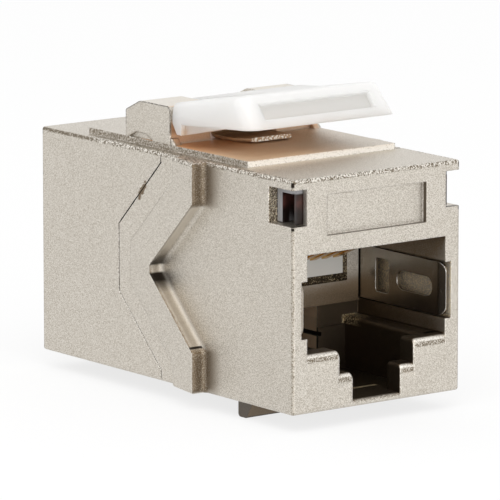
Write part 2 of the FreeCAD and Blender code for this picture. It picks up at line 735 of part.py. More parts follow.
def grip_recess():
    """Shallow pocket in the lever's sloping front face, square to that face."""
    along = FreeCAD.Vector(0, LEVER_CREST_BACK, LEVER_CREST_RISE - LEVER_TIP_RISE).normalize()
    wide = FreeCAD.Vector(GRIP_WIDTH, 0, 0)
    inward = along.cross(FreeCAD.Vector(-1, 0, 0))
    tip = FreeCAD.Vector(-GRIP_WIDTH / 2, LEVER_TIP, LEVER_TIP_HEIGHT)
    low = tip + along * GRIP_FROM_TIP - inward * GRIP_DEPTH
    high = low + along * GRIP_HEIGHT
    cutter = quad(low, low + wide, high + wide, high).extrude(inward * (2 * GRIP_DEPTH))
    floor = max(cutter.Faces, key=lambda face: face.CenterOfMass.dot(inward))
    return cutter.makeFillet(GRIP_FLOOR_ROUND, floor.Edges)


def lever_spine():
    """Arm between the ears, with a top that runs from the barrel into the plate's crest."""
    end = LEVER_CREST + SPINE_END_BEHIND_CREST
    end_top = LEVER_CREST_HEIGHT - SPINE_END_BELOW_CREST
    outline = [
        (FOOT_FRONT, NECK_BOTTOM),
        (PIVOT_DEPTH, NECK_BOTTOM),
        (PIVOT_DEPTH, PIVOT_HEIGHT + BARREL_RADIUS),
        (LEVER_HEEL - SPINE_BEND_FROM_HEEL, PLATEAU_TOP + SPINE_BEND_RISE),
        (end, end_top),
        (end, LEVER_TIP_HEIGHT),
        (FOOT_FRONT, LEVER_UNDER),
    ]
    spine = across(outline, ARM_WIDTH)
    return spine.makeFillet(SPINE_ROUND, [edge for edge in spine.Edges if is_spine_edge(edge)])


def is_spine_edge(edge):
    """True for the long upper edges at the sides of the lever's spine."""
    box = edge.BoundBox
    return box.XLength < SMALLEST_EDGE and box.YLength > SPINE_BEND_FROM_HEEL and box.ZMin > PIVOT_HEIGHT


def latch_lever():
    """One moulding: finger plate, spine between the ears, barrel and trunnions."""
    axle = EAR_GAP + 2 * TRUNNION_LENGTH
    turned = []
    for radius, length in ((BARREL_RADIUS, ARM_WIDTH), (TRUNNION_RADIUS, axle)):
        end = FreeCAD.Vector(-length / 2, PIVOT_DEPTH, PIVOT_HEIGHT)
        turned.append(Part.makeCylinder(radius, length, end, FreeCAD.Vector(1, 0, 0)))
    return lever_plate().fuse([lever_spine()] + turned).removeSplitter()


def latch_spring():
    """Hairpin of spring strip: a leg on the plateau, a bend, and a leg under the lever's neck."""
    half = SPRING_STRIP / 2
    bend = SPRING_BEND_INSIDE + half
    leg = PLATEAU_TOP + half
    front = FOOT_FRONT - SPRING_FORWARD
    corner = LEVER_HEEL + SPRING_BEND_BEHIND_FOOT + bend
    path = [
        (front, leg + SPRING_LIFT),
        (front + SPRING_HEEL_RUN, leg),
        (corner, leg),
        (corner, leg + 2 * bend),
        (LEVER_HEEL - FOOT_THICKNESS / 2, NECK_BOTTOM - SPRING_TIP_CLEARANCE - half),
    ]
    outline, rounds = strip_outline(path, {1: SPRING_HEEL_RADIUS, 2: bend, 3: bend}, SPRING_STRIP)
    spring = across(outline, SPRING_WIDTH, rounds)
    nose = [edge for edge in spring.Edges if is_spring_nose(edge, front + SPRING_STRIP)]
    return spring.makeChamfer(SPRING_NOSE_CHAMFER, nose)


def is_spring_nose(edge, limit):
    """True for the short upright edges at the front of the spring's lower leg."""
    box = edge.BoundBox
    return box.YMax < limit and box.XLength < SMALLEST_EDGE and box.ZMax < NECK_BOTTOM - SPRING_STRIP


def left_shield_spring():
    """Pierced strip along the port's left wall, curled into its pocket at the front."""
    half = SHIELD_STRIP / 2
    flat = -(PORT_WIDTH / 2 + half)
    curl = flat - (SHIELD_POCKET_DEPTH - SHIELD_STRIP - SHIELD_CLEARANCE)
    bottom = SHIELD_POCKET_BOTTOM + SHIELD_CLEARANCE
    height = SHIELD_POCKET_HEIGHT - 2 * SHIELD_CLEARANCE
    path = [
        (curl, SHIELD_CURL_START),
        (flat, SHIELD_CURL_START + SHIELD_CURL_LENGTH),
        (flat, SHIELD_POCKET_END - SHIELD_CLEARANCE),
    ]
    outline, rounds = strip_outline(path, {1: SHIELD_CURL_ROUND}, SHIELD_STRIP)
    plate = prism(outline, on_plan(bottom), FreeCAD.Vector(0, 0, height), rounds)
    front = plate.BoundBox.YMin
    top = bottom + height
    blank = [(front, bottom), (front, top), (SHIELD_POCKET_END, top), (SHIELD_POCKET_END, bottom)]
    blank_rounds = {0: SHIELD_CORNER_ROUND, 1: SHIELD_CORNER_ROUND}
    plate = plate.common(prism(blank, on_side(-HALF_WIDTH), FreeCAD.Vector(HALF_WIDTH, 0, 0), blank_rounds))
    middle = bottom + height / 2
    holes = [
        rounded_hole(SHIELD_HOLE_START, SHIELD_HOLE_LENGTH, middle, SHIELD_HOLE_HEIGHT, SHIELD_HOLE_ROUND),
        rounded_hole(SHIELD_SLOT_START, SHIELD_SLOT_LENGTH, middle, SHIELD_SLOT_HEIGHT, SHIELD_SLOT_ROUND),
    ]
    return plate.cut(holes)


def rounded_hole(start, length, middle, height, corner_round):
    """Cutter for a hole with round corners through the left shield spring."""
    low = middle - height / 2
    high = middle + height / 2
    outline = [(start, low), (start + length, low), (start + length, high), (start, high)]
    rounds = {corner: corner_round for corner in range(len(outline))}
    return prism(outline, on_side(-HALF_WIDTH), FreeCAD.Vector(HALF_WIDTH, 0, 0), rounds)


def contact_places():
    """Sideways place of each contact."""
    first = -CONTACT_PITCH * (CONTACT_COUNT - 1) / 2
    return [first + CONTACT_PITCH * index for index in range(CONTACT_COUNT)]


def contact(x):
    """Spring strip from its foot on the board, over the carrier, round and back down into the port."""
    foot = BOARD_FRONT - CONTACT_SEAT - CONTACT_STRIP / 2
    path = [
        (foot, CONTACT_RUN + CONTACT_FOOT),
        (foot, CONTACT_RUN),
        (PORT_LENGTH - CONTACT_REACH, CONTACT_RUN),
        (PORT_LENGTH - CONTACT_TIP_BEFORE_WALL, PORT_TOP - CONTACT_TIP_DROP),
    ]
    outline, rounds = strip_outline(path, {1: CONTACT_FOOT_RADIUS, 2: CONTACT_BEND_RADIUS}, CONTACT_STRIP)
    return prism(outline, on_side(x - CONTACT_WIDTH / 2), FreeCAD.Vector(CONTACT_WIDTH, 0, 0), rounds)


def contact_carrier():
    """Moulding behind the back wall, with a plate under the contacts."""
    width = HOLLOW_WIDTH - 2 * CARRIER_CLEARANCE
    end = BOARD_FRONT - CARRIER_CLEARANCE
    stand = slab(width, WALL_END, end, BAR_BOTTOM + CARRIER_CLEARANCE, CARRIER_PLATE_BOTTOM)
    plate_front = PORT_LENGTH - CARRIER_PLATE_REACH
    plate = slab(CARRIER_PLATE_WIDTH, plate_front, end, CARRIER_PLATE_BOTTOM, CARRIER_TOP)
    return stand.fuse(plate).removeSplitter()


def circuit_board():
    """Board that joins the two rows of contacts, held between the carriers."""
    return slab(
        HOLLOW_WIDTH - 2 * BOARD_CLEARANCE,
        BOARD_FRONT,
        BOARD_FRONT + BOARD_THICKNESS,
        HOLLOW_BOTTOM + BOARD_CLEARANCE,
        HOLLOW_TOP - BOARD_CLEARANCE,
    )


def all_pieces():
    """Every piece of the coupler by its node name."""
    outer = outer_form()
    pieces = {
        "front_shell": front_shell(outer),
        "rear_shell": rear_shell(outer),
        "latch_lever": latch_lever(),
        "latch_spring": latch_spring(),
        "circuit_board": circuit_board(),
        "left_corner_insert": left_corner_insert(),
        "right_corner_insert": mirrored(left_corner_insert()),
    }
    spring_left = left_shield_spring()
    port_pieces = {
        "contact_carrier": contact_carrier(),
        "shield_spring_left": spring_left,
        "shield_spring_right": mirrored(spring_left),
    }
    for number, x in enumerate(contact_places(), 1):
        port_pieces["contact_" + str(number)] = contact(x)
    for name, shape in port_pieces.items():
        pieces["front_" + name] = shape
        pieces["rear_" + name] = turned_to_rear(shape)
    return pieces


os.makedirs("parts", exist_ok=True)
to_origin = FreeCAD.Vector(0, -MID_DEPTH, HOOK_DROP)
for node, piece in all_pieces().items():
    piece.translate(to_origin)
    piece.exportStep("parts/" + node + ".step")
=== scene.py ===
import math
from types import SimpleNamespace

import bmesh
import bpy
import numpy as np
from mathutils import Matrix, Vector


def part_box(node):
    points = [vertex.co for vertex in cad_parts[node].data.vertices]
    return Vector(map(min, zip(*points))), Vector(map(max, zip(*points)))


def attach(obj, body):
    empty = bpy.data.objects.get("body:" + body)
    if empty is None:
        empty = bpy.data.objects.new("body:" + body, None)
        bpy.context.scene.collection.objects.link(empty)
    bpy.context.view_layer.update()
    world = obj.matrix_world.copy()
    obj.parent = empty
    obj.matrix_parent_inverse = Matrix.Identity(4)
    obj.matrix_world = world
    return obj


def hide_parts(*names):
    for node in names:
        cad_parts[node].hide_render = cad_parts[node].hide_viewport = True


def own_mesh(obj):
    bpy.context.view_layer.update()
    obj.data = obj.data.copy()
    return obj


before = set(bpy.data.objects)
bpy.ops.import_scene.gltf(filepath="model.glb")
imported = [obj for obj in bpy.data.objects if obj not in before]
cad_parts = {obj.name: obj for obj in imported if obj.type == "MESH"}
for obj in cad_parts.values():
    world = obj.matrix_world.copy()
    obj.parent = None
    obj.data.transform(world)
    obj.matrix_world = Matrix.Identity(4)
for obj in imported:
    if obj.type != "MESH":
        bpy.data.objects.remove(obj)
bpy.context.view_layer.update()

# A millimetre in the scene's metres
MILLIMETRE = 0.001

# Camera: the view that shows the left side and the front face
VIEW_TARGET = Vector((0.0, -0.0005, 0.00925))
VIEW_AZIMUTH = math.radians(-37.44)
VIEW_ELEVATION = math.radians(10.5)
VIEW_DISTANCE = 0.4002
SENSOR_WIDTH = 36.0
LENS = 412.9
NEAREST = 0.01
SHIFT_X = -0.0032
SHIFT_Y = 0.0158

# Light: a white room that is dimmer on the camera's side, two soft lamps and a pale floor
ROOM_LIGHT = 0.86
ROOM_DIMMING = 0.12
DIM_SIDE = (-0.6, -0.78, -0.15)
DIM_START = 0.35
LAMP_DISTANCE = 0.6
TOP_LAMP_DIRECTION = (-0.5, -0.55, 1.0)
TOP_LAMP_SIZE = 0.5
TOP_LAMP_POWER = 1.2
FRONT_LAMP_DIRECTION = (-0.12, -1.0, 0.16)
FRONT_LAMP_SIZE = 0.25
FRONT_LAMP_POWER = 0.9
FLOOR_SIZE = 4.0
FLOOR_COLOUR = (0.93, 0.93, 0.93, 1.0)
FLOOR_WHITENING = 0.78

# Colours of the finishes and of the light and shade painted on them, linear
NICKEL = (0.730, 0.687, 0.619, 1.0)
NICKEL_LOW = (0.470, 0.424, 0.357, 1.0)
# Painted highlights: bright specks on edges, rims, lips and the plateau's riser, and lighter upper rib
# slopes, hook sides and ear tops
NICKEL_HIGHLIGHT = (0.860, 0.820, 0.750, 1.0)
# Pits and dark specks, and painted shade under the lips' highlights
NICKEL_PIT_AND_SHADE = (0.200, 0.165, 0.120, 1.0)
# Painted shade, brown, inside the ports where they are closed in
NICKEL_BROWN = (0.270, 0.200, 0.130, 1.0)
# Brown: painted shade and reflection by the ribs, on the hook and on the walls beside the lever; also the
# plateau's sides, the window rims, the chip on the parting line and the line at the ribs' toe
NICKEL_STAIN_AND_SHADE = (0.185, 0.138, 0.090, 1.0)
NICKEL_GLINT = (0.930, 0.760, 0.460, 1.0)
# Painted warm reflection under the lever, and painted light on the lit wall of a port's well
NICKEL_WARM_LIGHT = (0.900, 0.650, 0.430, 1.0)
# Painted warm shadow under the lever, towards the ears
NICKEL_WARM_SHADOW = (0.720, 0.380, 0.180, 1.0)
# Painted shade, almost black: deep in the ports, on the window frames, on the walls of the front recess and
# on the hook
NICKEL_SHADOW = (0.075, 0.057, 0.038, 1.0)
# Almost black: the parting line, the corner chips and the line on the ears' edges, and painted shade deepest
# in the ports and at the ribs' point and lower bend
NICKEL_NICK_AND_SHADOW = (0.025, 0.020, 0.016, 1.0)
LEVER_WHITE = (0.700, 0.697, 0.686, 1.0)
LEVER_SHADE = (0.680, 0.676, 0.662, 1.0)
# Painted shade in the lever's grip recess
LEVER_RECESS_SHADE = (0.610, 0.602, 0.582, 1.0)
# Painted warm shade on the lever's low parts near the plateau and on its underside
LEVER_WARM_SHADE = (0.640, 0.430, 0.270, 1.0)
LEVER_GLOW = 1.0
LEVER_GLOW_DEPTH = 0.004
LEVER_GLOW_SPREAD = (1.0, 1.0, 1.0)
STEEL = (0.380, 0.338, 0.285, 1.0)
STEEL_LOW = (0.270, 0.235, 0.190, 1.0)
# Painted highlight on the shield strips' edges
STEEL_EDGE_HIGHLIGHT = (0.850, 0.830, 0.790, 1.0)
# Latch spring: browns painted for the warm reflection under the lever, and painted highlights as bright
# specks on its front edge
STRIP_BROWN_REFLECTION = (0.560, 0.370, 0.215, 1.0)
STRIP_BROWN_REFLECTION_LOW = (0.360, 0.230, 0.130, 1.0)
STRIP_SPECK_HIGHLIGHT = (0.900, 0.870, 0.800, 1.0)
GOLD = (0.800, 0.500, 0.170, 1.0)
GOLD_LOW = (0.600, 0.330, 0.090, 1.0)
CARRIER_WHITE = (0.740, 0.728, 0.690, 1.0)
CARRIER_SHADE = (0.690, 0.675, 0.635, 1.0)
BOARD_BLACK = (0.020, 0.020, 0.021, 1.0)
BOARD_LOW = (0.010, 0.010, 0.011, 1.0)
SMOKE_GREY = (0.330, 0.330, 0.345, 1.0)
SMOKE_LOW = (0.260, 0.260, 0.272, 1.0)
# Painted shade inside the corner inserts and on their clear fronts and posts, and a painted red glow in
# their slots
SMOKE_SHADOW = (0.012, 0.006, 0.005, 1.0)
SMOKE_RED = (0.085, 0.030, 0.024, 1.0)

# Latch spring: strip, bends and how much of its height is left when the lever is down, metres
STRIP_THICKNESS = 0.0003
STRIP_BEND = 0.00035
STRIP_LIFT = 0.00012
STRIP_HEEL = 0.0016
STRIP_HEEL_RADIUS = 0.0015
STRIP_TIP = 0.0013
STRIP_CHAMFER = 0.0005
STRIP_FORWARD = 0.0011

# Points on a round of the strip and of the ledges, and the turn from which an edge of theirs is sharp
STRIP_STEPS = 12
LEDGE_STEPS = 8
SHARP_ANGLE = math.radians(40.0)

# Cast ledges of a port: edges and tops of ledge and step, the rail behind them, and their rounds, metres
LEDGE_WALL = 0.00605
LEDGE_EDGE = 0.00322
LEDGE_TOP = 0.00530
STEP_EDGE = 0.00207
STEP_TOP = 0.00366
LEDGE_BOTTOM = 0.0014
LEDGE_BACK = 0.00142
LEDGE_SETBACK = 0.000012
LEDGE_CORNER = 0.00028
LEDGE_LIP = 0.00030
RAIL_EDGE = 0.00474
RAIL_FRONT = 0.0010
RAIL_BACK = 0.00975

# Nickel: grains to the millimetre, their turn and contrast, and how much painted shade darkens the ports
# along their walls
GRAIN_SCALE = 16.0
PIT_SCALE = 20.8
SPECK_SCALE = 11.0
CHIP_SCALE = 8.5
RAGGED_SCALE = 3.5
CLOUD_SCALE = 0.35
GRAIN_TURN = (0.5, 0.7, 0.3)
GRAIN_CONTRAST = 10.0
DEPTH_DARKENING = 0.35

# Rounds of the edges, millimetres; the roots of the ribs are rounder by the second
EDGE_RADIUS = 0.16
ROOT_RADIUS = 0.35
LEVER_RADIUS = 0.15
FINE_RADIUS = 0.06

# Reach within which other faces close a place in, millimetres, for painted shade: in a port, under the
# lever, on the lever and in a corner insert
PORT_REACH = 9.0
COVER_REACH = 6.0
LEVER_REACH = 3.0
INSERT_REACH = 3.0

# Streaks of the strips: how often they repeat along x, y and z, to the millimetre
SHIELD_STREAKS = (1.0, 5.0, 0.8)
STRIP_STREAKS = (14.0, 1.0, 1.0)
GOLD_STREAKS = (14.0, 1.2, 14.0)

# Normals: where a face starts to count as looking that way, and where it does in full
FACE_ON = (0.8, 0.9)
FACE_ASLANT = (0.25, 0.4)
FACE_FORWARD = (-0.4, -0.6)
FACE_FRONT = (-0.8, -0.9)
FACE_DOWN = (-0.1, -0.4)

# Places that the finishes and their painted light and shade follow, millimetres: side is from the middle
# plane, depth from the nearer end face and height from the base. A pair is where a mask starts and where it
# is full, or the two ends of a band
END_FACE = 14.5
MIDDLE = 9.3
HOOK_TOP = (1.25, 1.15)
CORNER_CHIPS = ((16.85, 17.2), (13.9, 14.12))
STRIP_FRONT = (-2.55, -2.7)

# Ribs, by which shade and a highlight are painted: place of the upright ends, reach and half width of the
# point, then masks by height from the middle, by height from the knee where slope and upright end meet, and
# by distance unrolled from the rib's edge
RIB = SimpleNamespace(
    front=-4.7,
    reach=4.9,
    point=0.3,
    edge=8.35,
    outside=(7.15, 7.2),
    ahead=(-0.05, 0.0),
    below=(0.1, -0.1),
    upper_slope=(-0.3, 0.3),
    point_start=(0.22, 0.34),
    point_end=(1.1, 0.35),
    point_drop=0.4,
    light_start=(0.9, 1.6),
    upright=(-0.35, -0.1),
    light_end=(0.0, -0.3),
    bend=-0.33,
    bend_line=(0.09, 0.05),
    wall_only=(0.9, 0.7),
    wall=(1.5, 1.25),
    wall_fade=(2.9, 1.3),
    slope_fade=(1.6, 1.0),
    edge_fade=(0.25, 0.05),
    point_fade=(1.9, 1.0),
    bend_fade=(1.2, 1.1),
    light_band=(0.15, 0.85),
    root=(2.6, 2.2),
)

# Port, where shade and light are painted: its walls, then the bar and pillars at its back, the well under
# the bar and the low walls beside it
PORT = SimpleNamespace(
    sides=(6.65, 6.55),
    mouth=(0.02, 0.06),
    roof=(12.3, 12.1),
    past_ledges=(0.9, 1.2),
    back=(9.2, 9.4),
    bar_foot=(6.2, 6.3),
    pillar_light=(6.9, 8.6),
    well=(9.5, 9.7),
    well_top=(6.3, 6.2),
    beside_well=(2.5, 3.6),
    groove=(4.1, 4.4),
    pocket=(6.3, 6.4),
    over_spring=(10.4, 12.2),
    low_wall=(4.7, 4.5),
    low_wall_end=(9.3, 9.2),
    low_side=(5.3, 5.0),
    low_side_start=(0.04, 0.2),
    low_side_end=(9.6, 9.5),
    ledge_top=(5.45, 5.35),
    behind_lip=(0.18, 0.40),
)

# Lips of a port's ledges, steps and floor, which carry specks near its mouth: painted highlights above
# painted shade
LIP = SimpleNamespace(
    near=(0.55, 0.5),
    ledge=(3.35, 6.0),
    ledge_bright=(5.04, 5.32),
    ledge_dark=(4.70, 5.04),
    step=(2.15, 3.3),
    step_bright=(3.40, 3.68),
    step_dark=(3.05, 3.40),
    floor=(2.1, 2.0),
    floor_dark=(1.52, 1.70),
)

# Glints of a port: line across its floor, frame of its window, ends of its rails, wall behind its spring
GLINT = SimpleNamespace(
    line_depth=(2.98, 3.34),
    line_height=(1.55, 1.75),
    line_side=(2.6, 2.4),
    frame_depth=(9.47, 9.95),
    frame_side=(4.95, 4.92),
    frame_height=(7.75, 12.2),
    rail_depth=(7.6, 8.8),
    rail_height=(4.75, 5.35),
    rail_side=(4.6, 5.9),
    spring_side=(6.4, 6.6),
    spring_height=(6.4, 10.4),
)

# Rims: of the top, of the upright corners, of the front recess, of the plateau and of the corner windows;
# their bright specks are painted highlights, and the front recess's walls get painted shade
RIM = SimpleNamespace(
    top_low=(17.12, 17.18),
    top_high=(17.40, 17.36),
    top_side=(6.85, 6.95),
    top_rear=(9.5, 8.0),
    top_front=(0.22, 0.18),
    rear_height=(17.12, 17.32),
    rear_side=(7.14, 7.17),
    rear_start=(7.5, 9.0),
    line_height=(17.06, 17.16),
    line_side=(7.2, 7.23),
    line_front=(0.06, 0.04),
    corner_side=(7.08, 7.11),
    corner_depth=(0.20, 0.17),
    recess_front=(0.01, 0.03),
    recess_back=(0.4, 0.36),
    recess_height=(13.28, 16.12),
    recess_side=(4.28, 4.32),
    round_recess_depth=(-0.1, 0.45),
    round_recess_height=(13.1, 16.3),
    plateau_height=(17.36, 17.78),
    plateau_side=(6.3, 6.5),
    plateau_within=(6.5, 6.45),
    plateau_front=(5.9, 6.0),
    margin_height=(17.3, 17.4),
    margin_side=(6.42, 6.9),
    margin_edge=(6.42, 6.45),
    margin_front=(6.0, 6.1),
    window_height=(14.1, 16.7),
    window_depth=(0.45, 3.2),
    window_inner=(4.4, 4.5),
    window_outer=(7.24, 7.2),
)

# Top: deck, plateau and ears round the lever, and how far the lever has to cover a place for the painted
# warm reflection and shade under it
TOP = SimpleNamespace(
    deck=(17.2, 17.3),
    plateau=(17.5, 17.6),
    within=(7.0, 6.9),
    across=(3.8, -2.0),
    rear=(4.0, 2.5),
    covered=(0.05, 0.45),
    warm_shadowed=(-5.0, -1.5),
    wall_height=(17.8, 19.3),
    wall_side=(6.3, 6.2),
    wall_rear=(2.0, 1.0),
    wall_covered=(0.2, 0.7),
    ear_foot=(18.4, 18.6),
    ear_side=(6.2, 6.3),
    ear_top=(19.4, 19.8),
)

# Parting line on the sides and the line at the ribs' toe: each is where y and height add up to its sum
SEAM = SimpleNamespace(
    line_sum=16.94,
    width=(0.10, 0.06),
    height=(11.9, 16.7),
    near=(0.5, 0.4),
    outside=(7.0, 7.2),
    chip_middle=2.5,
    chip_width=(0.36, 0.26),
    chip_length=(0.55, 0.40),
    toe_sum=13.97,
    toe_width=(0.07, 0.03),
    toe_height=(10.6, 14.7),
)

# Specks: values of the noise between which they start and are full
SPECKS = SimpleNamespace(
    pits=(0.64, 0.74),
    edge_bright=(0.46, 0.56),
    edge_dark=(0.46, 0.40),
    rim_bright=(0.52, 0.58),
    rim_dark=(0.50, 0.44),
    rear_dark=(0.64, 0.56),
    riser=(0.34, 0.42),
    lip_bright=(0.42, 0.48),
    lip_dark=(0.55, 0.49),
    line_glint=(0.44, 0.52),
    frame_glint=(0.57, 0.64),
    port_glint=(0.50, 0.56),
    window_glint=(0.52, 0.58),
    window_brown=(0.56, 0.50),
    ear_dark=(0.62, 0.56),
    strip=(0.48, 0.56),
)

# How closed in a port's faces have to be for painted shade to darken them along its walls, and to turn them
# brown, dark and black
PORT_ALONG = (0.1, 0.4)
PORT_BROWN = (0.14, 0.42)
PORT_DARK = (0.55, 0.85)
PORT_BLACK = (0.80, 1.20)

# Lever: foot (y, z), rise and run of its sloping front face, then its grip, its low parts and its underside,
# where shade is painted
LEVER = SimpleNamespace(
    foot=(-8.8, 19.87),
    rise=0.784,
    run=0.620,
    grip_sunk=(0.05, 0.40),
    grip_side=(4.85, 4.75),
    grip_rear=(-7.1, -7.3),
    low=(19.5, 18.8),
    low_covered=(0.10, 0.45),
    underside=(-7.2, -6.4),
)

# Corner insert: its clear front and posts, painted dark as its shaded inside, its slot, and the painted red
# glow inside it
INSERT = SimpleNamespace(
    front_side=(5.93, 5.98),
    post=(13.50, 13.58),
    slot_side=(6.46, 6.42),
    top=(16.35, 16.25),
    glow_height=(15.2, 16.1),
    glow_clouds=(0.35, 0.65),
)

# Sockets of the Mix node when it mixes colours
MIX_FACTOR = 0
MIX_FIRST = 6
MIX_SECOND = 7
MIX_RESULT = 2


class Shade:
    """A socket in a material's node tree; arithmetic on it adds Math nodes to the tree."""

    def __init__(self, tree, socket=None):
        self.tree = tree
        self.socket = socket

    def node(self, kind, sockets=None, output=0, **settings):
        """Adds any node: its settings first, then the values or links of its sockets."""
        made = self.tree.nodes.new("ShaderNode" + kind)
        for name, value in settings.items():
            setattr(made, name, value)
        for name, value in (sockets or {}).items():
            if isinstance(value, Shade):
                self.tree.links.new(value.socket, made.inputs[name])
            else:
                made.inputs[name].default_value = value
        return Shade(self.tree, made.outputs[output] if made.outputs else None)

    def math(self, operation, *values):
        """Adds a Math node on the given values."""
        return self.node("Math", dict(enumerate(values)), operation=operation)

    def __add__(self, other):
        return self.math("ADD", self, other)

    def __radd__(self, other):
        return self.math("ADD", other, self)

    def __sub__(self, other):
        return self.math("SUBTRACT", self, other)

    def __rsub__(self, other):
        return self.math("SUBTRACT", other, self)

    def __mul__(self, other):
        return self.math("MULTIPLY", self, other)

    def __rmul__(self, other):
        return self.math("MULTIPLY", other, self)

    def size(self):
        """The value without its sign."""
        return self.math("ABSOLUTE", self)

    def parts(self):
        """The three parts of a vector, each as a Shade."""
        split = self.node("SeparateXYZ", {"Vector": self})
        return [Shade(self.tree, socket) for socket in split.socket.node.outputs]

    def clamped(self):
        """The value kept between 0 and 1."""
        return self.node("Clamp", {"Value": self})

    def blend(self, first, second):
        """Colour that goes from the first to the second as this value goes from 0 to 1."""
        sockets = {MIX_FACTOR: self, MIX_FIRST: first, MIX_SECOND: second}
        return self.node("Mix", sockets, output=MIX_RESULT, data_type="RGBA")


def new_finish(name):
    """A material with an empty tree, and a Shade to build it from."""
    material = bpy.data.materials.new(name)
    material.use_nodes = True
    material.node_tree.nodes.clear()
    return material, Shade(material.node_tree)


def surface(shade, **sockets):
    """Principled shader on the material's output; words joined by _ name its sockets."""
    named = {name.replace("_", " "): value for name, value in sockets.items()}
    shader = shade.node("BsdfPrincipled", named)
    shade.node("OutputMaterial", {"Surface": shader})


def in_millimetres(shade):
    """Object coordinates in millimetres."""
    place = shade.node("TexCoord", output="Object")
    return place.node("VectorMath", {0: place, "Scale": 1 / MILLIMETRE}, operation="SCALE")


def noise(place, scale, detail=2.0, roughness=0.5):
    """Noise of so many grains to the millimetre, 0 to 1."""
    sockets = {"Vector": place, "Scale": scale, "Detail": detail, "Roughness": roughness}
    return place.node("TexNoise", sockets)


def bump(height, strength, depth, normal=None):
    """Normal bent by a height; depth in millimetres is what a height of 1 stands for."""
    sockets = {"Strength": strength, "Distance": depth * MILLIMETRE, "Height": height}
    if normal is not None:
        sockets["Normal"] = normal
    return height.node("Bump", sockets)


def rounded_normal(shade, radius):
    """Normal rounded over each edge by a radius in millimetres."""
    return shade.node("Bevel", {"Radius": MILLIMETRE * radius}, samples=6)


def edge_mask(rounded):
    """1 on an edge, where the rounded normal turns away from the face's own, and 0 on the faces."""
    flat = rounded.node("NewGeometry", output="True Normal")
    turn = rounded.node("VectorMath", {0: rounded, 1: flat}, output="Value", operation="DOT_PRODUCT")
    return (8.0 * (1.0 - turn)).clamped()


def facing(shade):
    """The three parts of the face's own normal."""
    return shade.node("NewGeometry", output="True Normal").parts()


def crease(shade, reach, only_local=True):
    """How far a place is closed in within a reach in millimetres, 0 to 1, by its own piece or by all."""
    sockets = {"Distance": reach * MILLIMETRE}
    return 1.0 - shade.node("AmbientOcclusion", sockets, output="AO", samples=8, only_local=only_local)


def ramp(value, start, end):
    """0 where the value is at the start, 1 where it has reached the end."""
    return ((value - start) * (1 / (end - start))).clamped()


def band(value, low, high, soft=0.03):
    """1 where the value lies between two ends, with a soft border at each."""
    return ramp(value, low - soft, low + soft) * ramp(value, high + soft, high - soft)


def cast_spot(shade):
    """Place on a casting in millimetres, the way its face looks, and the noises of its finish."""
    place = in_millimetres(shade)
    x, y, z = place.parts()
    across, along, up = facing(shade)
    turned = place.node("Mapping", {"Vector": place, "Rotation": GRAIN_TURN})
    return SimpleNamespace(
        x=x,
        y=y,
        z=z,
        side=x.size(),
        depth=END_FACE - y.size(),
        from_middle=z - MIDDLE,
        sideways=ramp(across.size(), *FACE_ON),
        aslant=ramp(across.size(), *FACE_ASLANT),
        endways=ramp(along.size(), *FACE_ON),
        forwards=ramp(along, *FACE_FORWARD),
        upwards=ramp(up, *FACE_ON),
        grain=noise(turned, GRAIN_SCALE, 1.0, 0.6),
        pits=noise(turned, PIT_SCALE, 1.0),
        specks=noise(turned, SPECK_SCALE, 1.0, 0.6),
        chips=noise(turned, CHIP_SCALE, 1.0, 0.6),
        ragged=noise(turned, RAGGED_SCALE, 2.0, 0.6),
        clouds=noise(place, CLOUD_SCALE),
    )


def rib_shade(spot):
    """Painted shade and reflection in front of the ribs, unrolled from a rib's edge down its wall and out
    along the side: brown on the upright ends, faint on the slopes, almost black each side of the point and
    at the lower bend; with a painted highlight on the upper slope."""
    height = spot.from_middle.size()
    knee = RIB.point + RIB.reach
    line = RIB.front + RIB.reach * ramp(height, knee, RIB.point)
    ahead = line - spot.y
    unrolled = (RIB.edge - spot.side) + ahead.math("MAXIMUM", ahead, 0.0)
    near = ramp(spot.side, *RIB.outside) * ramp(ahead, *RIB.ahead)
    near = near * (1.0 - (1.0 - spot.forwards) * ramp(unrolled, *RIB.wall_only))
    below = ramp(spot.from_middle, *RIB.below)
    upright = ramp(height - knee, *RIB.upright)
    wall = ramp(unrolled, *RIB.wall)
    spread = wall + 0.6 * (1.0 - wall) * ramp(unrolled, *RIB.wall_fade)
    slope = (0.35 - 0.3 * ramp(spot.from_middle, *RIB.upper_slope)) * ramp(unrolled, *RIB.slope_fade)
    slope = slope + 0.5 * ramp(unrolled, *RIB.edge_fade)
    point = ramp(height, *RIB.point_start) * ramp(height - RIB.point_drop * below, *RIB.point_end)
    point = point * ramp(unrolled, *RIB.point_fade) * (0.8 + 0.2 * below)
    bend = ramp((spot.from_middle + knee + RIB.bend).size(), *RIB.bend_line) * ramp(unrolled, *RIB.bend_fade)
    light = ramp(height - knee, *RIB.light_end) * ramp(spot.from_middle, *RIB.light_start)
    return SimpleNamespace(
        brown=near * (upright * spread + (1.0 - upright) * slope),
        dark=near * (point + bend),
        light=near * light * band(unrolled, *RIB.light_band, 0.1),
        root=near * ramp(unrolled, *RIB.root),
    )


def port_inside(spot, start):
    """1 inside a port, from the depth where it starts."""
    return ramp(spot.side, *PORT.sides) * ramp(spot.depth, *start) * ramp(spot.z, *PORT.roof)


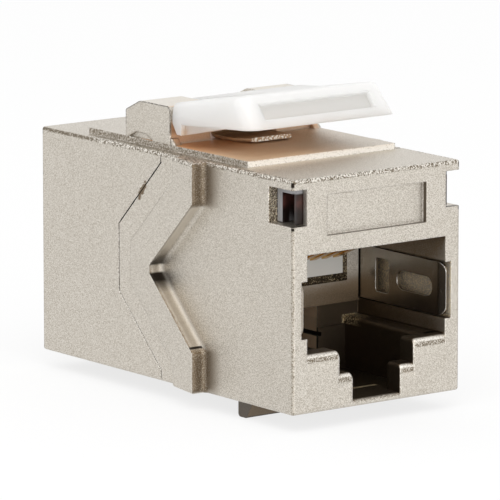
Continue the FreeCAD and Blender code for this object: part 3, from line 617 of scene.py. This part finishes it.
def port_shade(spot, own):
    """How closed in each face of a port is, for its painted shade: the pillars beside its window, its
    pockets and the wall of the well catch light, the wall under the bar, the floor and the low walls don't."""
    inside = port_inside(spot, PORT.mouth)
    walls = inside * spot.sideways
    along = inside * (1.0 - spot.endways)
    back = inside * spot.endways * ramp(spot.depth, *PORT.back)
    pillar = 0.9 * back * ramp(spot.z, *PORT.bar_foot) * ramp(spot.z, *PORT.pillar_light)
    well = walls * ramp(spot.depth, *PORT.well) * ramp(spot.z, *PORT.well_top)
    well = well * (1.0 - band(spot.z, *PORT.groove, 0.02))
    pocket = walls * ramp(spot.side, *PORT.pocket)
    over_spring = walls * band(spot.z, *PORT.over_spring)
    lit = (pillar + well + 0.6 * pocket + 0.2 * over_spring).clamped()
    low_wall = walls * ramp(spot.z, *PORT.low_wall) * ramp(spot.depth, *PORT.low_wall_end)
    low_side = walls * ramp(spot.z, *PORT.low_side) * ramp(spot.depth, *PORT.low_side_start)
    low_side = low_side * ramp(spot.depth, *PORT.low_side_end)
    behind_lip = along * ramp(spot.z, *PORT.ledge_top) * ramp(spot.depth, *PORT.behind_lip)
    low_back = back * ramp(spot.z, *PORT.well_top) * (0.40 + 0.5 * ramp(spot.side, *PORT.beside_well))
    unlit = 0.5 * low_wall + low_side + behind_lip + low_back
    unlit = unlit + DEPTH_DARKENING * along * ramp(own, *PORT_ALONG)
    return SimpleNamespace(inside=inside, lit=lit, well=well, closed=(own + unlit) * (1.0 - 0.9 * lit))


def lip_shade(spot):
    """Specks on the rounded lips of a port's ledges, steps and floor: painted highlights above painted
    shade.
    """
    ledge = band(spot.side, *LIP.ledge)
    step = band(spot.side, *LIP.step)
    floor = ramp(spot.side, *LIP.floor)
    near = ramp(spot.depth, *LIP.near)
    bright = ledge * band(spot.z, *LIP.ledge_bright) + step * band(spot.z, *LIP.step_bright)
    dark = ledge * band(spot.z, *LIP.ledge_dark, 0.06) + step * band(spot.z, *LIP.step_dark, 0.06)
    dark = dark + 0.8 * floor * band(spot.z, *LIP.floor_dark, 0.04)
    return SimpleNamespace(
        bright=near * bright * ramp(spot.specks, *SPECKS.lip_bright),
        dark=near * dark * ramp(spot.specks, *SPECKS.lip_dark),
    )


def glint_shade(spot):
    """Glints in a port: on the line across its floor, round its window, at the rails' ends and behind its
    springs; and the frame of the window by itself."""
    line = band(spot.depth, *GLINT.line_depth, 0.01) * band(spot.z, *GLINT.line_height, 0.05)
    line = line * ramp(spot.side, *GLINT.line_side)
    frame_edge = band(spot.depth, *GLINT.frame_depth) * ramp(spot.side, *GLINT.frame_side)
    frame_edge = frame_edge * band(spot.z, *GLINT.frame_height) * (1.0 - spot.endways)
    rails = ramp(spot.depth, *GLINT.rail_depth) * band(spot.z, *GLINT.rail_height)
    rails = rails * band(spot.side, *GLINT.rail_side)
    behind_spring = spot.sideways * band(spot.side, *GLINT.spring_side) * band(spot.z, *GLINT.spring_height)
    glint = (rails + 0.6 * behind_spring) * ramp(spot.specks, *SPECKS.port_glint)
    glint = glint + line * (0.5 + 0.5 * ramp(spot.specks, *SPECKS.line_glint))
    glint = glint + 0.8 * frame_edge * ramp(spot.specks, *SPECKS.frame_glint)
    return SimpleNamespace(all=glint.clamped(), frame=frame_edge)


def rim_shade(spot):
    """Cast rims, each a mask: the top's rims and the line under them, the upright corners, the walls of the
    front recess and of the corner windows, the plateau's sides and front and the margin beside it."""
    top = ramp(spot.side, *RIM.top_side) * ramp(spot.y, *RIM.top_rear) + ramp(spot.depth, *RIM.top_front)
    top = top.clamped() * ramp(spot.z, *RIM.top_low) * ramp(spot.z, *RIM.top_high)
    rear = band(spot.z, *RIM.rear_height) * ramp(spot.side, *RIM.rear_side) * ramp(spot.y, *RIM.rear_start)
    line = (ramp(spot.side, *RIM.line_side) + ramp(spot.depth, *RIM.line_front)).clamped()
    recess = ramp(spot.depth, *RIM.recess_back) * ramp(spot.depth, *RIM.recess_front)
    recess = recess * band(spot.z, *RIM.recess_height)
    window = band(spot.z, *RIM.window_height) * band(spot.depth, *RIM.window_depth) * spot.endways
    plateau = band(spot.z, *RIM.plateau_height, 0.01)
    riser = plateau * spot.endways * spot.forwards * ramp(spot.depth, *RIM.plateau_front)
    margin = band(spot.z, *RIM.margin_height) * spot.upwards * band(spot.side, *RIM.margin_side)
    return SimpleNamespace(
        top=top,
        rear=rear,
        line=line * band(spot.z, *RIM.line_height, 0.02),
        corner=ramp(spot.side, *RIM.corner_side) * ramp(spot.depth, *RIM.corner_depth),
        recess=recess * (band(spot.side, *RIM.recess_side, 0.02) * spot.sideways + spot.upwards),
        window=window * ramp(spot.side, *RIM.window_inner) * ramp(spot.side, *RIM.window_outer),
        plateau_side=plateau * spot.sideways * band(spot.side, *RIM.plateau_side),
        riser=riser * ramp(spot.side, *RIM.plateau_within),
        margin=margin * ramp(spot.depth, *RIM.margin_front),
    )


def lever_shade(shade, spot):
    """Painted warm reflection and shade below the lever: on the deck and plateau where the lever covers
    them, and on the walls beside them."""
    covered = ramp(crease(shade, COVER_REACH, only_local=False), *TOP.covered)
    on_top = spot.upwards * ramp(spot.z, *TOP.deck) * (0.2 + 0.8 * ramp(spot.z, *TOP.plateau))
    on_top = on_top * ramp(spot.side, *TOP.within)
    on_top = on_top * (1.0 - ramp(spot.side, *RIM.margin_edge) * ramp(spot.depth, *RIM.margin_front))
    on_top = on_top * covered * (0.06 + 0.94 * ramp(spot.x, *TOP.across)) * ramp(spot.y, *TOP.rear)
    walls = (1.0 - spot.upwards) * band(spot.z, *TOP.wall_height, 0.2) * ramp(spot.side, *TOP.wall_side)
    walls = walls * ramp(covered, *TOP.wall_covered) * ramp(spot.y, *TOP.wall_rear)
    return SimpleNamespace(all=on_top + 0.5 * walls, walls=walls)


def seam_shade(spot):
    """Marks on the sides: the parting line with the chip on it, and the line at the ribs' toe."""
    outside = ramp(spot.side, *SEAM.outside)
    off_line = (spot.y + spot.z - SEAM.line_sum).size()
    chip = outside * ramp(off_line + 1.2 * (spot.ragged - 0.5), *SEAM.chip_width)
    chip = chip * ramp((spot.y - SEAM.chip_middle).size(), *SEAM.chip_length)
    toe = outside * ramp((spot.y + spot.z - SEAM.toe_sum).size(), *SEAM.toe_width)
    line = outside * ramp(off_line + 0.2 * (spot.specks - 0.5), *SEAM.width)
    return SimpleNamespace(
        near=outside * ramp(off_line, *SEAM.near),
        chip=chip,
        toe=toe * band(spot.z, *SEAM.toe_height, 0.2),
        line=line * band(spot.z, *SEAM.height) * (1.0 - chip),
    )


def cast_marks(shade, spot):
    """All the masks of a casting's finish, and of the light and shade painted on it."""
    own = crease(shade, PORT_REACH) + 0.6 * (spot.grain - 0.5)
    low = ramp(spot.z, *HOOK_TOP)
    return SimpleNamespace(
        rib=rib_shade(spot),
        port=port_shade(spot, own),
        lip=lip_shade(spot),
        glint=glint_shade(spot),
        rim=rim_shade(spot),
        lever=lever_shade(shade, spot),
        seam=seam_shade(spot),
        # Painted shade on the hook's low faces, painted light on its aslant faces
        hook=low * (1.0 - spot.aslant),
        hook_side=low * spot.aslant,
        ear=ramp(spot.z, *TOP.ear_foot) * ramp(spot.side, *TOP.ear_side),
        # Painted highlight on the ears' tops
        ear_top=spot.upwards * ramp(spot.z, *TOP.ear_top),
    )


def highlit_plate(spot, marks, edge):
    """Colour of the plate: grain and pits; painted highlights as bright specks on edges, rims, lips and the
    plateau's riser and as lighter rib slopes, hook sides and ear tops; dark specks on edges and rims, and
    painted shade as dark specks under the lips' highlights.
    """
    rim = marks.rim
    tone = (GRAIN_CONTRAST * (spot.grain - 0.5) + 0.4 * (spot.clouds - 0.5) + 0.70).clamped()
    pitted = ramp(spot.pits, *SPECKS.pits).blend(tone.blend(NICKEL_LOW, NICKEL), NICKEL_PIT_AND_SHADE)
    round_recess = band(spot.depth, *RIM.round_recess_depth) * band(spot.z, *RIM.round_recess_height)
    outer_edge = edge * (1.0 - marks.rib.root) * (1.0 - round_recess) * (1.0 - marks.port.inside)
    strips = (rim.top + rim.margin + 0.8 * rim.plateau_side).clamped()
    bright = (outer_edge + rim.window).clamped() * ramp(spot.specks, *SPECKS.edge_bright)
    bright = bright + strips * ramp(spot.chips, *SPECKS.rim_bright)
    bright = (bright + rim.riser * ramp(spot.specks, *SPECKS.riser)).clamped()
    bright = bright + marks.lip.bright + 0.8 * marks.rib.light + marks.hook_side + 0.6 * marks.ear_top
    highlit = bright.clamped().blend(pitted, NICKEL_HIGHLIGHT)
    dull = (0.5 * rim.corner + 0.5 * rim.margin).blend(highlit, NICKEL_LOW)
    dark = (0.7 * outer_edge + 0.9 * rim.corner + rim.window).clamped()
    dark = dark * ramp(spot.specks, *SPECKS.edge_dark)
    dark = dark + (strips + rim.line).clamped() * ramp(spot.chips, *SPECKS.rim_dark)
    dark = dark + rim.rear * ramp(spot.chips, *SPECKS.rear_dark) + marks.lip.dark
    return dark.clamped().blend(dull, NICKEL_PIT_AND_SHADE)


def stained_and_shaded_plate(spot, marks, plate):
    """Plate with brown painted shade and reflection by the ribs, on the hook and beside the lever, painted
    warm reflection under the lever and painted light in the ports' wells, painted warm shadow towards the
    ears, and painted shade inside the ports, on the window frames and in the front recess.
    """
    port, rim = marks.port, marks.rim
    stain_and_shade = marks.rib.brown * (1.0 + 5.0 * (spot.grain - 0.5)) + 0.3 * rim.plateau_side + 0.9 * marks.hook
    stain_and_shade = stain_and_shade + 0.9 * rim.window * ramp(spot.specks, *SPECKS.window_brown) + 0.35 * marks.lever.walls
    stained_and_shaded = stain_and_shade.clamped().blend(plate, NICKEL_STAIN_AND_SHADE)
    warm_lit = (marks.lever.all + port.well).clamped().blend(stained_and_shaded, NICKEL_WARM_LIGHT)
    warm_shadow = 0.9 * marks.lever.all * ramp(spot.y, *TOP.warm_shadowed)
    warm_shadowed = warm_shadow.clamped().blend(warm_lit, NICKEL_WARM_SHADOW)
    browned = (port.inside * ramp(port.closed, *PORT_BROWN)).blend(warm_shadowed, NICKEL_BROWN)
    dark = 0.8 * port.inside * ramp(port.closed, *PORT_DARK)
    dark = dark + 0.6 * marks.glint.frame + 0.9 * rim.recess + 0.5 * marks.hook
    return dark.clamped().blend(browned, NICKEL_SHADOW)


def marked_plate(spot, marks, edge, plate):
    """Plate with its marks: painted glints, the chip and the toe's line, then all that is almost black: the
    parting line, the corner chips, the line on the ears' edges, and painted shade deepest in the ports and
    at the ribs' point and bend.
    """
    rim, seam = marks.rim, marks.seam
    glint = marks.glint.all + 0.6 * rim.window * ramp(spot.specks, *SPECKS.window_glint)
    glinting = glint.clamped().blend(plate, NICKEL_GLINT)
    chipped = (seam.chip + 0.45 * seam.toe).clamped().blend(glinting, NICKEL_STAIN_AND_SHADE)
    corner_chips = rim.corner * sum(band(spot.z, *ends, 0.05) for ends in CORNER_CHIPS)
    ear_line = marks.ear * (2.5 * edge).clamped() * ramp(spot.specks, *SPECKS.ear_dark)
    black = 0.35 * marks.port.inside * ramp(marks.port.closed, *PORT_BLACK)
    black = black + 0.8 * seam.line + corner_chips + 0.9 * ear_line + marks.rib.dark
    return black.clamped().blend(chipped, NICKEL_NICK_AND_SHADOW)


def blasted_nickel():
    """Nickel plate on a grit-blasted casting: fine grain and speckled edges, with painted highlights, and
    painted shade, brown to black, where it is closed in and under the lever.
    """
    material, shade = new_finish("blasted_nickel")
    spot = cast_spot(shade)
    marks = cast_marks(shade, spot)
    keep = (1.0 - 0.8 * port_inside(spot, PORT.past_ledges)) * (1.0 - 0.8 * marks.seam.near)
    rounded = rounded_normal(shade, (EDGE_RADIUS + ROOT_RADIUS * marks.rib.root) * keep)
    edge = edge_mask(rounded)
    plate = stained_and_shaded_plate(spot, marks, highlit_plate(spot, marks, edge))
    colour = marked_plate(spot, marks, edge, plate)
    relief = bump(0.6 * spot.grain + 0.4 * spot.pits, 1.0, 0.03, rounded)
    roughness = 0.34 + 0.12 * spot.pits - 0.08 * edge
    glint = marks.glint.all
    dulled = marks.port.inside * (0.1 + 0.6 * marks.port.lit) * (1.0 - glint)
    dulled = dulled + 0.7 * marks.lever.all + 0.8 * (marks.rim.riser + marks.hook_side + glint)
    surface(shade, Base_Color=colour, Metallic=1.0 - dulled, Roughness=roughness, Normal=relief)
    return material


def lever_plastic():
    """White moulded plastic: faint cloudiness and a fine spark-eroded mould texture, with painted shade in
    the grip's recess and painted warm shade on the low parts and underside.
    """
    material, shade = new_finish("lever_plastic")
    place = in_millimetres(shade)
    x, y, z = place.parts()
    texture = noise(place, 9.0)
    body = noise(place, 0.5).blend(LEVER_SHADE, LEVER_WHITE)
    foot_y, foot_z = LEVER.foot
    sunk = LEVER.rise * (y - foot_y) - LEVER.run * (z - foot_z)
    grip = ramp(sunk, *LEVER.grip_sunk) * ramp(x.size(), *LEVER.grip_side) * ramp(y, *LEVER.grip_rear)
    low = ramp(crease(shade, LEVER_REACH, only_local=False), *LEVER.low_covered) * ramp(z, *LEVER.low)
    underside = ramp(facing(shade)[2], *FACE_DOWN) * ramp(y, *LEVER.underside)
    warm_shade = 0.8 * (low + 0.4 * underside).clamped()
    colour = warm_shade.blend(grip.blend(body, LEVER_RECESS_SHADE), LEVER_WARM_SHADE)
    relief = bump(texture, 0.5, 0.004, rounded_normal(shade, LEVER_RADIUS))
    roughness = 0.38 + 0.10 * texture
    surface(
        shade,
        Base_Color=colour,
        Roughness=roughness,
        Normal=relief,
        Subsurface_Weight=LEVER_GLOW,
        Subsurface_Scale=LEVER_GLOW_DEPTH,
        Subsurface_Radius=LEVER_GLOW_SPREAD,
    )
    return material


def shield_steel():
    """Rolled spring strip of the shields: streaks along the strip, a little cloudy, with a painted highlight
    on its edges.
    """
    material, shade = new_finish("shield_steel")
    place = in_millimetres(shade)
    stretched = place.node("Mapping", {"Vector": place, "Scale": SHIELD_STREAKS})
    streaks = noise(stretched, 1.0, 3.0, 0.6)
    clouds = noise(place, 0.6)
    rounded = rounded_normal(shade, FINE_RADIUS)
    tone = (0.15 * streaks + clouds - 0.1).clamped()
    colour = edge_mask(rounded).blend(tone.blend(STEEL_LOW, STEEL), STEEL_EDGE_HIGHLIGHT)
    relief = bump(streaks, 0.1, 0.001, rounded)
    roughness = 0.26 + 0.02 * streaks
    surface(shade, Base_Color=colour, Metallic=1.0, Roughness=roughness, Normal=relief)
    return material


def speckled_strip():
    """Spring strip painted brown for the warm reflection under the lever, with drawing lines and painted
    highlights as bright specks on its front edge.
    """
    material, shade = new_finish("speckled_strip")
    place = in_millimetres(shade)
    stretched = place.node("Mapping", {"Vector": place, "Scale": STRIP_STREAKS})
    lines = noise(stretched, 1.0, 3.0, 0.6)
    specks = noise(place, 6.0, 1.0, 0.6)
    front = ramp(place.parts()[1], *STRIP_FRONT)
    tone = (0.8 * lines + 0.1).clamped().blend(STRIP_BROWN_REFLECTION_LOW, STRIP_BROWN_REFLECTION)
    colour = (front * ramp(specks, *SPECKS.strip)).blend(tone, STRIP_SPECK_HIGHLIGHT)
    relief = bump(lines + specks, 0.4, 0.005)
    roughness = 0.26 + 0.16 * lines
    surface(shade, Base_Color=colour, Metallic=0.6, Roughness=roughness, Normal=relief)
    return material


def contact_gold():
    """Gold plate on thin strip: soft tone changes and fine drawing lines."""
    material, shade = new_finish("contact_gold")
    place = in_millimetres(shade)
    stretched = place.node("Mapping", {"Vector": place, "Scale": GOLD_STREAKS})
    lines = noise(stretched, 1.0)
    clouds = noise(place, 0.9)
    colour = (0.5 * lines + 0.8 * clouds - 0.1).clamped().blend(GOLD_LOW, GOLD)
    relief = bump(lines, 0.3, 0.004)
    roughness = 0.18 + 0.14 * clouds
    surface(shade, Base_Color=colour, Metallic=1.0, Roughness=roughness, Normal=relief)
    return material


def carrier_plastic():
    """Off-white insulating plastic with a dull moulded face."""
    material, shade = new_finish("carrier_plastic")
    place = in_millimetres(shade)
    texture = noise(place, 8.0)
    colour = noise(place, 0.8).blend(CARRIER_SHADE, CARRIER_WHITE)
    relief = bump(texture, 0.4, 0.005, rounded_normal(shade, FINE_RADIUS))
    roughness = 0.45 + 0.12 * texture
    surface(shade, Base_Color=colour, Roughness=roughness, Normal=relief)
    return material


def smoke_plastic():
    """Smoke-grey moulded plastic, painted almost black where light can't reach into it and on its clear
    front and posts, with a painted red glow in its slot.
    """
    material, shade = new_finish("smoke_plastic")
    place = in_millimetres(shade)
    x, y, z = place.parts()
    across, along = facing(shade)[:2]
    clouds = noise(place, 1.2)
    texture = noise(place, 9.0)
    body = clouds.blend(SMOKE_LOW, SMOKE_GREY)
    posts = (ramp(y.size(), *INSERT.post) + ramp(x.size(), *INSERT.slot_side)).clamped()
    lens = ramp(along, *FACE_FRONT) * ramp(x.size(), *INSERT.front_side)
    lens = (lens + ramp(across.size(), *FACE_ON) * posts).clamped() * ramp(z, *INSERT.top)
    closed = ((2.6 * crease(shade, INSERT_REACH) - 0.5).clamped() + lens).clamped()
    glow = band(z, *INSERT.glow_height, 0.2) * ramp(clouds, *INSERT.glow_clouds)
    colour = closed.blend(body, glow.blend(SMOKE_SHADOW, SMOKE_RED))
    relief = bump(texture, 0.4, 0.004, rounded_normal(shade, FINE_RADIUS))
    roughness = 0.28 + 0.10 * texture
    surface(shade, Base_Color=colour, Roughness=roughness, Normal=relief)
    return material


def board_mask():
    """Black solder mask over woven glass board."""
    material, shade = new_finish("board_mask")
    place = in_millimetres(shade)
    clouds = noise(place, 1.1)
    weave = place.node("TexWave", {"Vector": place, "Scale": 1.4, "Distortion": 0.6})
    colour = (0.7 * clouds + 0.3 * weave).clamped().blend(BOARD_LOW, BOARD_BLACK)
    relief = bump(weave, 0.3, 0.005)
    roughness = 0.30 + 0.12 * clouds
    surface(shade, Base_Color=colour, Roughness=roughness, Normal=relief)
    return material


def bent_line(corners, radii, steps):
    """Line of points in a plane through the corners: straight runs joined by tangent arcs of the radii."""
    corners = np.array(corners)
    parts = [corners[:1]]
    blend = np.linspace(0.0, 1.0, steps)[:, None]
    for before, here, after, radius in zip(corners, corners[1:], corners[2:], radii):
        back = (before - here) / np.linalg.norm(before - here)
        ahead = (after - here) / np.linalg.norm(after - here)
        half = math.acos(back @ ahead) / 2
        turn = math.pi - 2 * half
        bisector = (back + ahead) / np.linalg.norm(back + ahead)
        centre = here + bisector * radius / math.sin(half)
        first = here + back * radius / math.tan(half) - centre
        last = here + ahead * radius / math.tan(half) - centre
        arc = np.sin((1 - blend) * turn) * first + np.sin(blend * turn) * last
        parts.append(centre + arc / math.sin(turn))
    parts.append(corners[-1:])
    line = np.concatenate(parts)
    apart = np.linalg.norm(np.diff(line, axis=0), axis=1) > 1e-7
    return line[np.concatenate(([True], apart))]


def ring_mesh(name, forms):
    """Mesh of closed forms: each is rows of rings of points, every ring is joined to the next, and the first
    and the last are closed."""
    points = np.concatenate([form.reshape(-1, 3) for form in forms])
    faces = []
    first = 0
    for form in forms:
        here = first + np.arange(form.shape[0] * form.shape[1]).reshape(form.shape[:2])
        after = np.roll(here, -1, axis=1)
        walls = np.stack((here[:-1], here[1:], after[1:], after[:-1]), axis=2).reshape(-1, 4)
        faces += walls.tolist() + [here[0].tolist(), here[-1, ::-1].tolist()]
        first += here.size
    mesh = bpy.data.meshes.new(name)
    mesh.from_pydata(points.tolist(), [], faces)
    shell = bmesh.new()
    shell.from_mesh(mesh)
    bmesh.ops.recalc_face_normals(shell, faces=shell.faces)
    shell.to_mesh(mesh)
    shell.free()
    mesh.shade_smooth()
    mesh.set_sharp_from_angle(angle=SHARP_ANGLE)
    return mesh


def ledge_form(corners, rounds, depths, drops, side, face, inward):
    """Ledge of a port: an outline of (x, z) corners with rounded edges, closed along the casting, is carried
    from the end face into the port, and at each depth its height is less by that depth's drop."""
    line = bent_line(corners, rounds, LEDGE_STEPS)
    ring = np.concatenate((line, [(LEDGE_WALL, LEDGE_BOTTOM)]))
    height = np.maximum(ring[None, :, 1] - drops[:, None], LEDGE_BOTTOM)
    across = np.broadcast_to(side * ring[None, :, 0], height.shape)
    along = np.broadcast_to(face + inward * depths[:, None], height.shape)
    return np.stack((across, along, height), axis=2)


def port_ledges(name, face, inward, material):
    """Ledges and steps of one port at their full height: walls behind the end face whose lips are quarter
    rounds, and a rail along each side of the port behind them."""
    turn = np.linspace(0.0, math.pi / 2, LEDGE_STEPS)
    lip_depths = np.append(LEDGE_SETBACK + LEDGE_LIP * (1 - np.cos(turn)), LEDGE_BACK)
    lip_drops = np.append(LEDGE_LIP * (1 - np.sin(turn)), 0.0)
    rail_depths = np.array((RAIL_FRONT, RAIL_BACK))
    wall = [
        (LEDGE_WALL, LEDGE_TOP),
        (LEDGE_EDGE, LEDGE_TOP),
        (LEDGE_EDGE, STEP_TOP),
        (STEP_EDGE, STEP_TOP),
        (STEP_EDGE, LEDGE_BOTTOM),
    ]
    rail = [(LEDGE_WALL, LEDGE_TOP), (RAIL_EDGE, LEDGE_TOP), (RAIL_EDGE, LEDGE_BOTTOM)]
    forms = []
    for side in (-1, 1):
        rounds = (LEDGE_CORNER, 0.0, LEDGE_CORNER)
        forms.append(ledge_form(wall, rounds, lip_depths, lip_drops, side, face, inward))
        forms.append(ledge_form(rail, rounds[:1], rail_depths, np.zeros(2), side, face, inward))
    piece = bpy.data.objects.new(name, ring_mesh(name, forms))
    bpy.context.scene.collection.objects.link(piece)
    piece.data.materials.append(material)
    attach(piece, "housing")


def strip_mesh(name, line, half_widths, thickness, around=20, corner=0.25):
    """Strip along a (y, z) line: at each point of the line the section is a rounded rectangle
    (half_width * c, thickness / 2 * s) with c and s the cosine and sine of an angle raised to a small
    power with their signs kept, its first side across x and its second square to the line."""
    along = np.gradient(line, axis=0)
    along /= np.linalg.norm(along, axis=1)[:, None]
    square = np.stack((-along[:, 1], along[:, 0]), axis=1)
    angle = np.linspace(0.0, 2 * math.pi, around, endpoint=False)
    wide = np.sign(np.cos(angle)) * np.abs(np.cos(angle)) ** corner
    thick = np.sign(np.sin(angle)) * np.abs(np.sin(angle)) ** corner * thickness / 2
    across = half_widths[:, None] * wide[None, :]
    depth = line[:, 0, None] + square[:, 0, None] * thick[None, :]
    height = line[:, 1, None] + square[:, 1, None] * thick[None, :]
    return ring_mesh(name, [np.stack((across, depth, height), axis=2)])


def latch_spring():
    """Hairpin of strip, painted brown for its reflection, between the plateau and the lever, in the place of
    its CAD node.
    """
    low, high = (Vector(corner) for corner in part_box("latch_spring"))
    half = STRIP_THICKNESS / 2
    bend = STRIP_BEND
    leg = low.z + half
    front = low.y - STRIP_FORWARD
    corner = high.y - half
    tip = high.z - half
    corners = [
        (front, leg + STRIP_LIFT),
        (front + STRIP_HEEL, leg),
        (corner, leg),
        (corner, leg + 2 * bend),
        (low.y + STRIP_TIP, tip),
    ]
    line = bent_line(corners, (STRIP_HEEL_RADIUS, bend, bend), STRIP_STEPS)
    from_front = np.concatenate(([0.0], np.cumsum(np.linalg.norm(np.diff(line, axis=0), axis=1))))
    half_widths = high.x - np.clip(STRIP_CHAMFER - from_front, 0.0, None)
    mesh = strip_mesh("latch_spring_strip", line, half_widths, STRIP_THICKNESS)
    piece = bpy.data.objects.new("latch_spring_strip", mesh)
    bpy.context.scene.collection.objects.link(piece)
    mesh.materials.append(speckled_strip())
    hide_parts("latch_spring")
    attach(piece, "housing")
    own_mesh(piece)


def dress(objects, material):
    """Puts one finish on each object."""
    for obj in objects:
        obj.data.materials.clear()
        obj.data.materials.append(material)


def nodes_named(*words):
    """CAD nodes whose name holds one of the words."""
    return [obj for name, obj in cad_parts.items() if any(word in name for word in words)]


def soft_lamp(name, direction, size, power):
    """Round soft lamp that looks at the coupler from a direction."""
    data = bpy.data.lights.new(name, "AREA")
    data.shape = "DISK"
    data.size = size
    data.energy = power
    lamp = bpy.data.objects.new(name, data)
    back = Vector(direction).normalized()
    lamp.location = VIEW_TARGET + back * LAMP_DISTANCE
    lamp.rotation_euler = back.to_track_quat("Z", "Y").to_euler()
    bpy.context.scene.collection.objects.link(lamp)


def shows_background(shade):
    """1 on rays that the camera sees straight, mirrored or through a clear piece, 0 on those that light."""
    kinds = ("Camera", "Glossy", "Transmission")
    return sum(shade.node("LightPath", output="Is %s Ray" % kind) for kind in kinds).clamped()


def studio():
    """White room, two soft lamps and a pale floor."""
    scene = bpy.context.scene
    world = bpy.data.worlds.new("white_room")
    scene.world = world
    world.use_nodes = True
    world.node_tree.nodes.clear()
    shade = Shade(world.node_tree)
    direction = shade.node("TexCoord", output="Generated")
    sockets = {0: direction, 1: Vector(DIM_SIDE).normalized()}
    towards = shade.node("VectorMath", sockets, output="Value", operation="DOT_PRODUCT")
    light = ROOM_LIGHT - ROOM_DIMMING * ramp(towards, DIM_START, 1.0)
    strength = light + (1.0 - light) * shows_background(shade)
    room = shade.node("Background", {"Color": (1.0, 1.0, 1.0, 1.0), "Strength": strength})
    shade.node("OutputWorld", {"Surface": room})

    soft_lamp("top_lamp", TOP_LAMP_DIRECTION, TOP_LAMP_SIZE, TOP_LAMP_POWER)
    soft_lamp("front_lamp", FRONT_LAMP_DIRECTION, FRONT_LAMP_SIZE, FRONT_LAMP_POWER)

    half = FLOOR_SIZE / 2
    corners = [(-half, -half, 0), (half, -half, 0), (half, half, 0), (-half, half, 0)]
    mesh = bpy.data.meshes.new("floor")
    mesh.from_pydata(corners, [], [(0, 1, 2, 3)])
    floor = bpy.data.objects.new("floor", mesh)
    scene.collection.objects.link(floor)
    material, shade = new_finish("pale_floor")
    plain = shade.node("BsdfDiffuse", {"Color": FLOOR_COLOUR})
    white = shade.node("Emission", {"Color": (1.0, 1.0, 1.0, 1.0), "Strength": 1.0})
    seen = FLOOR_WHITENING * shows_background(shade)
    shade.node("OutputMaterial", {"Surface": shade.node("MixShader", {0: seen, 1: plain, 2: white})})
    mesh.materials.append(material)


def camera():
    """Camera at the photograph's angle, far off with a long lens."""
    data = bpy.data.cameras.new("camera")
    data.sensor_width = SENSOR_WIDTH
    data.lens = LENS
    data.shift_x = SHIFT_X
    data.shift_y = SHIFT_Y
    data.clip_start = NEAREST
    view = bpy.data.objects.new("camera", data)
    flat = math.cos(VIEW_ELEVATION)
    back = Vector((math.sin(VIEW_AZIMUTH) * flat, -math.cos(VIEW_AZIMUTH) * flat, math.sin(VIEW_ELEVATION)))
    view.location = VIEW_TARGET + back * VIEW_DISTANCE
    view.rotation_euler = (-back).to_track_quat("-Z", "Y").to_euler()
    bpy.context.scene.collection.objects.link(view)
    bpy.context.scene.camera = view


nickel = blasted_nickel()
dress(nodes_named("front_shell", "rear_shell"), nickel)
port_ledges("front_port_ledges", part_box("front_shell")[0][1], 1, nickel)
port_ledges("rear_port_ledges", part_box("rear_shell")[1][1], -1, nickel)
dress(nodes_named("latch_lever"), lever_plastic())
latch_spring()
dress(nodes_named("shield_spring"), shield_steel())
dress(nodes_named("contact_carrier"), carrier_plastic())
dress([obj for obj in nodes_named("contact_") if "carrier" not in obj.name], contact_gold())
dress(nodes_named("circuit_board"), board_mask())
dress(nodes_named("corner_insert"), smoke_plastic())
studio()
camera()

bpy.context.scene.view_settings.view_transform = "Standard"
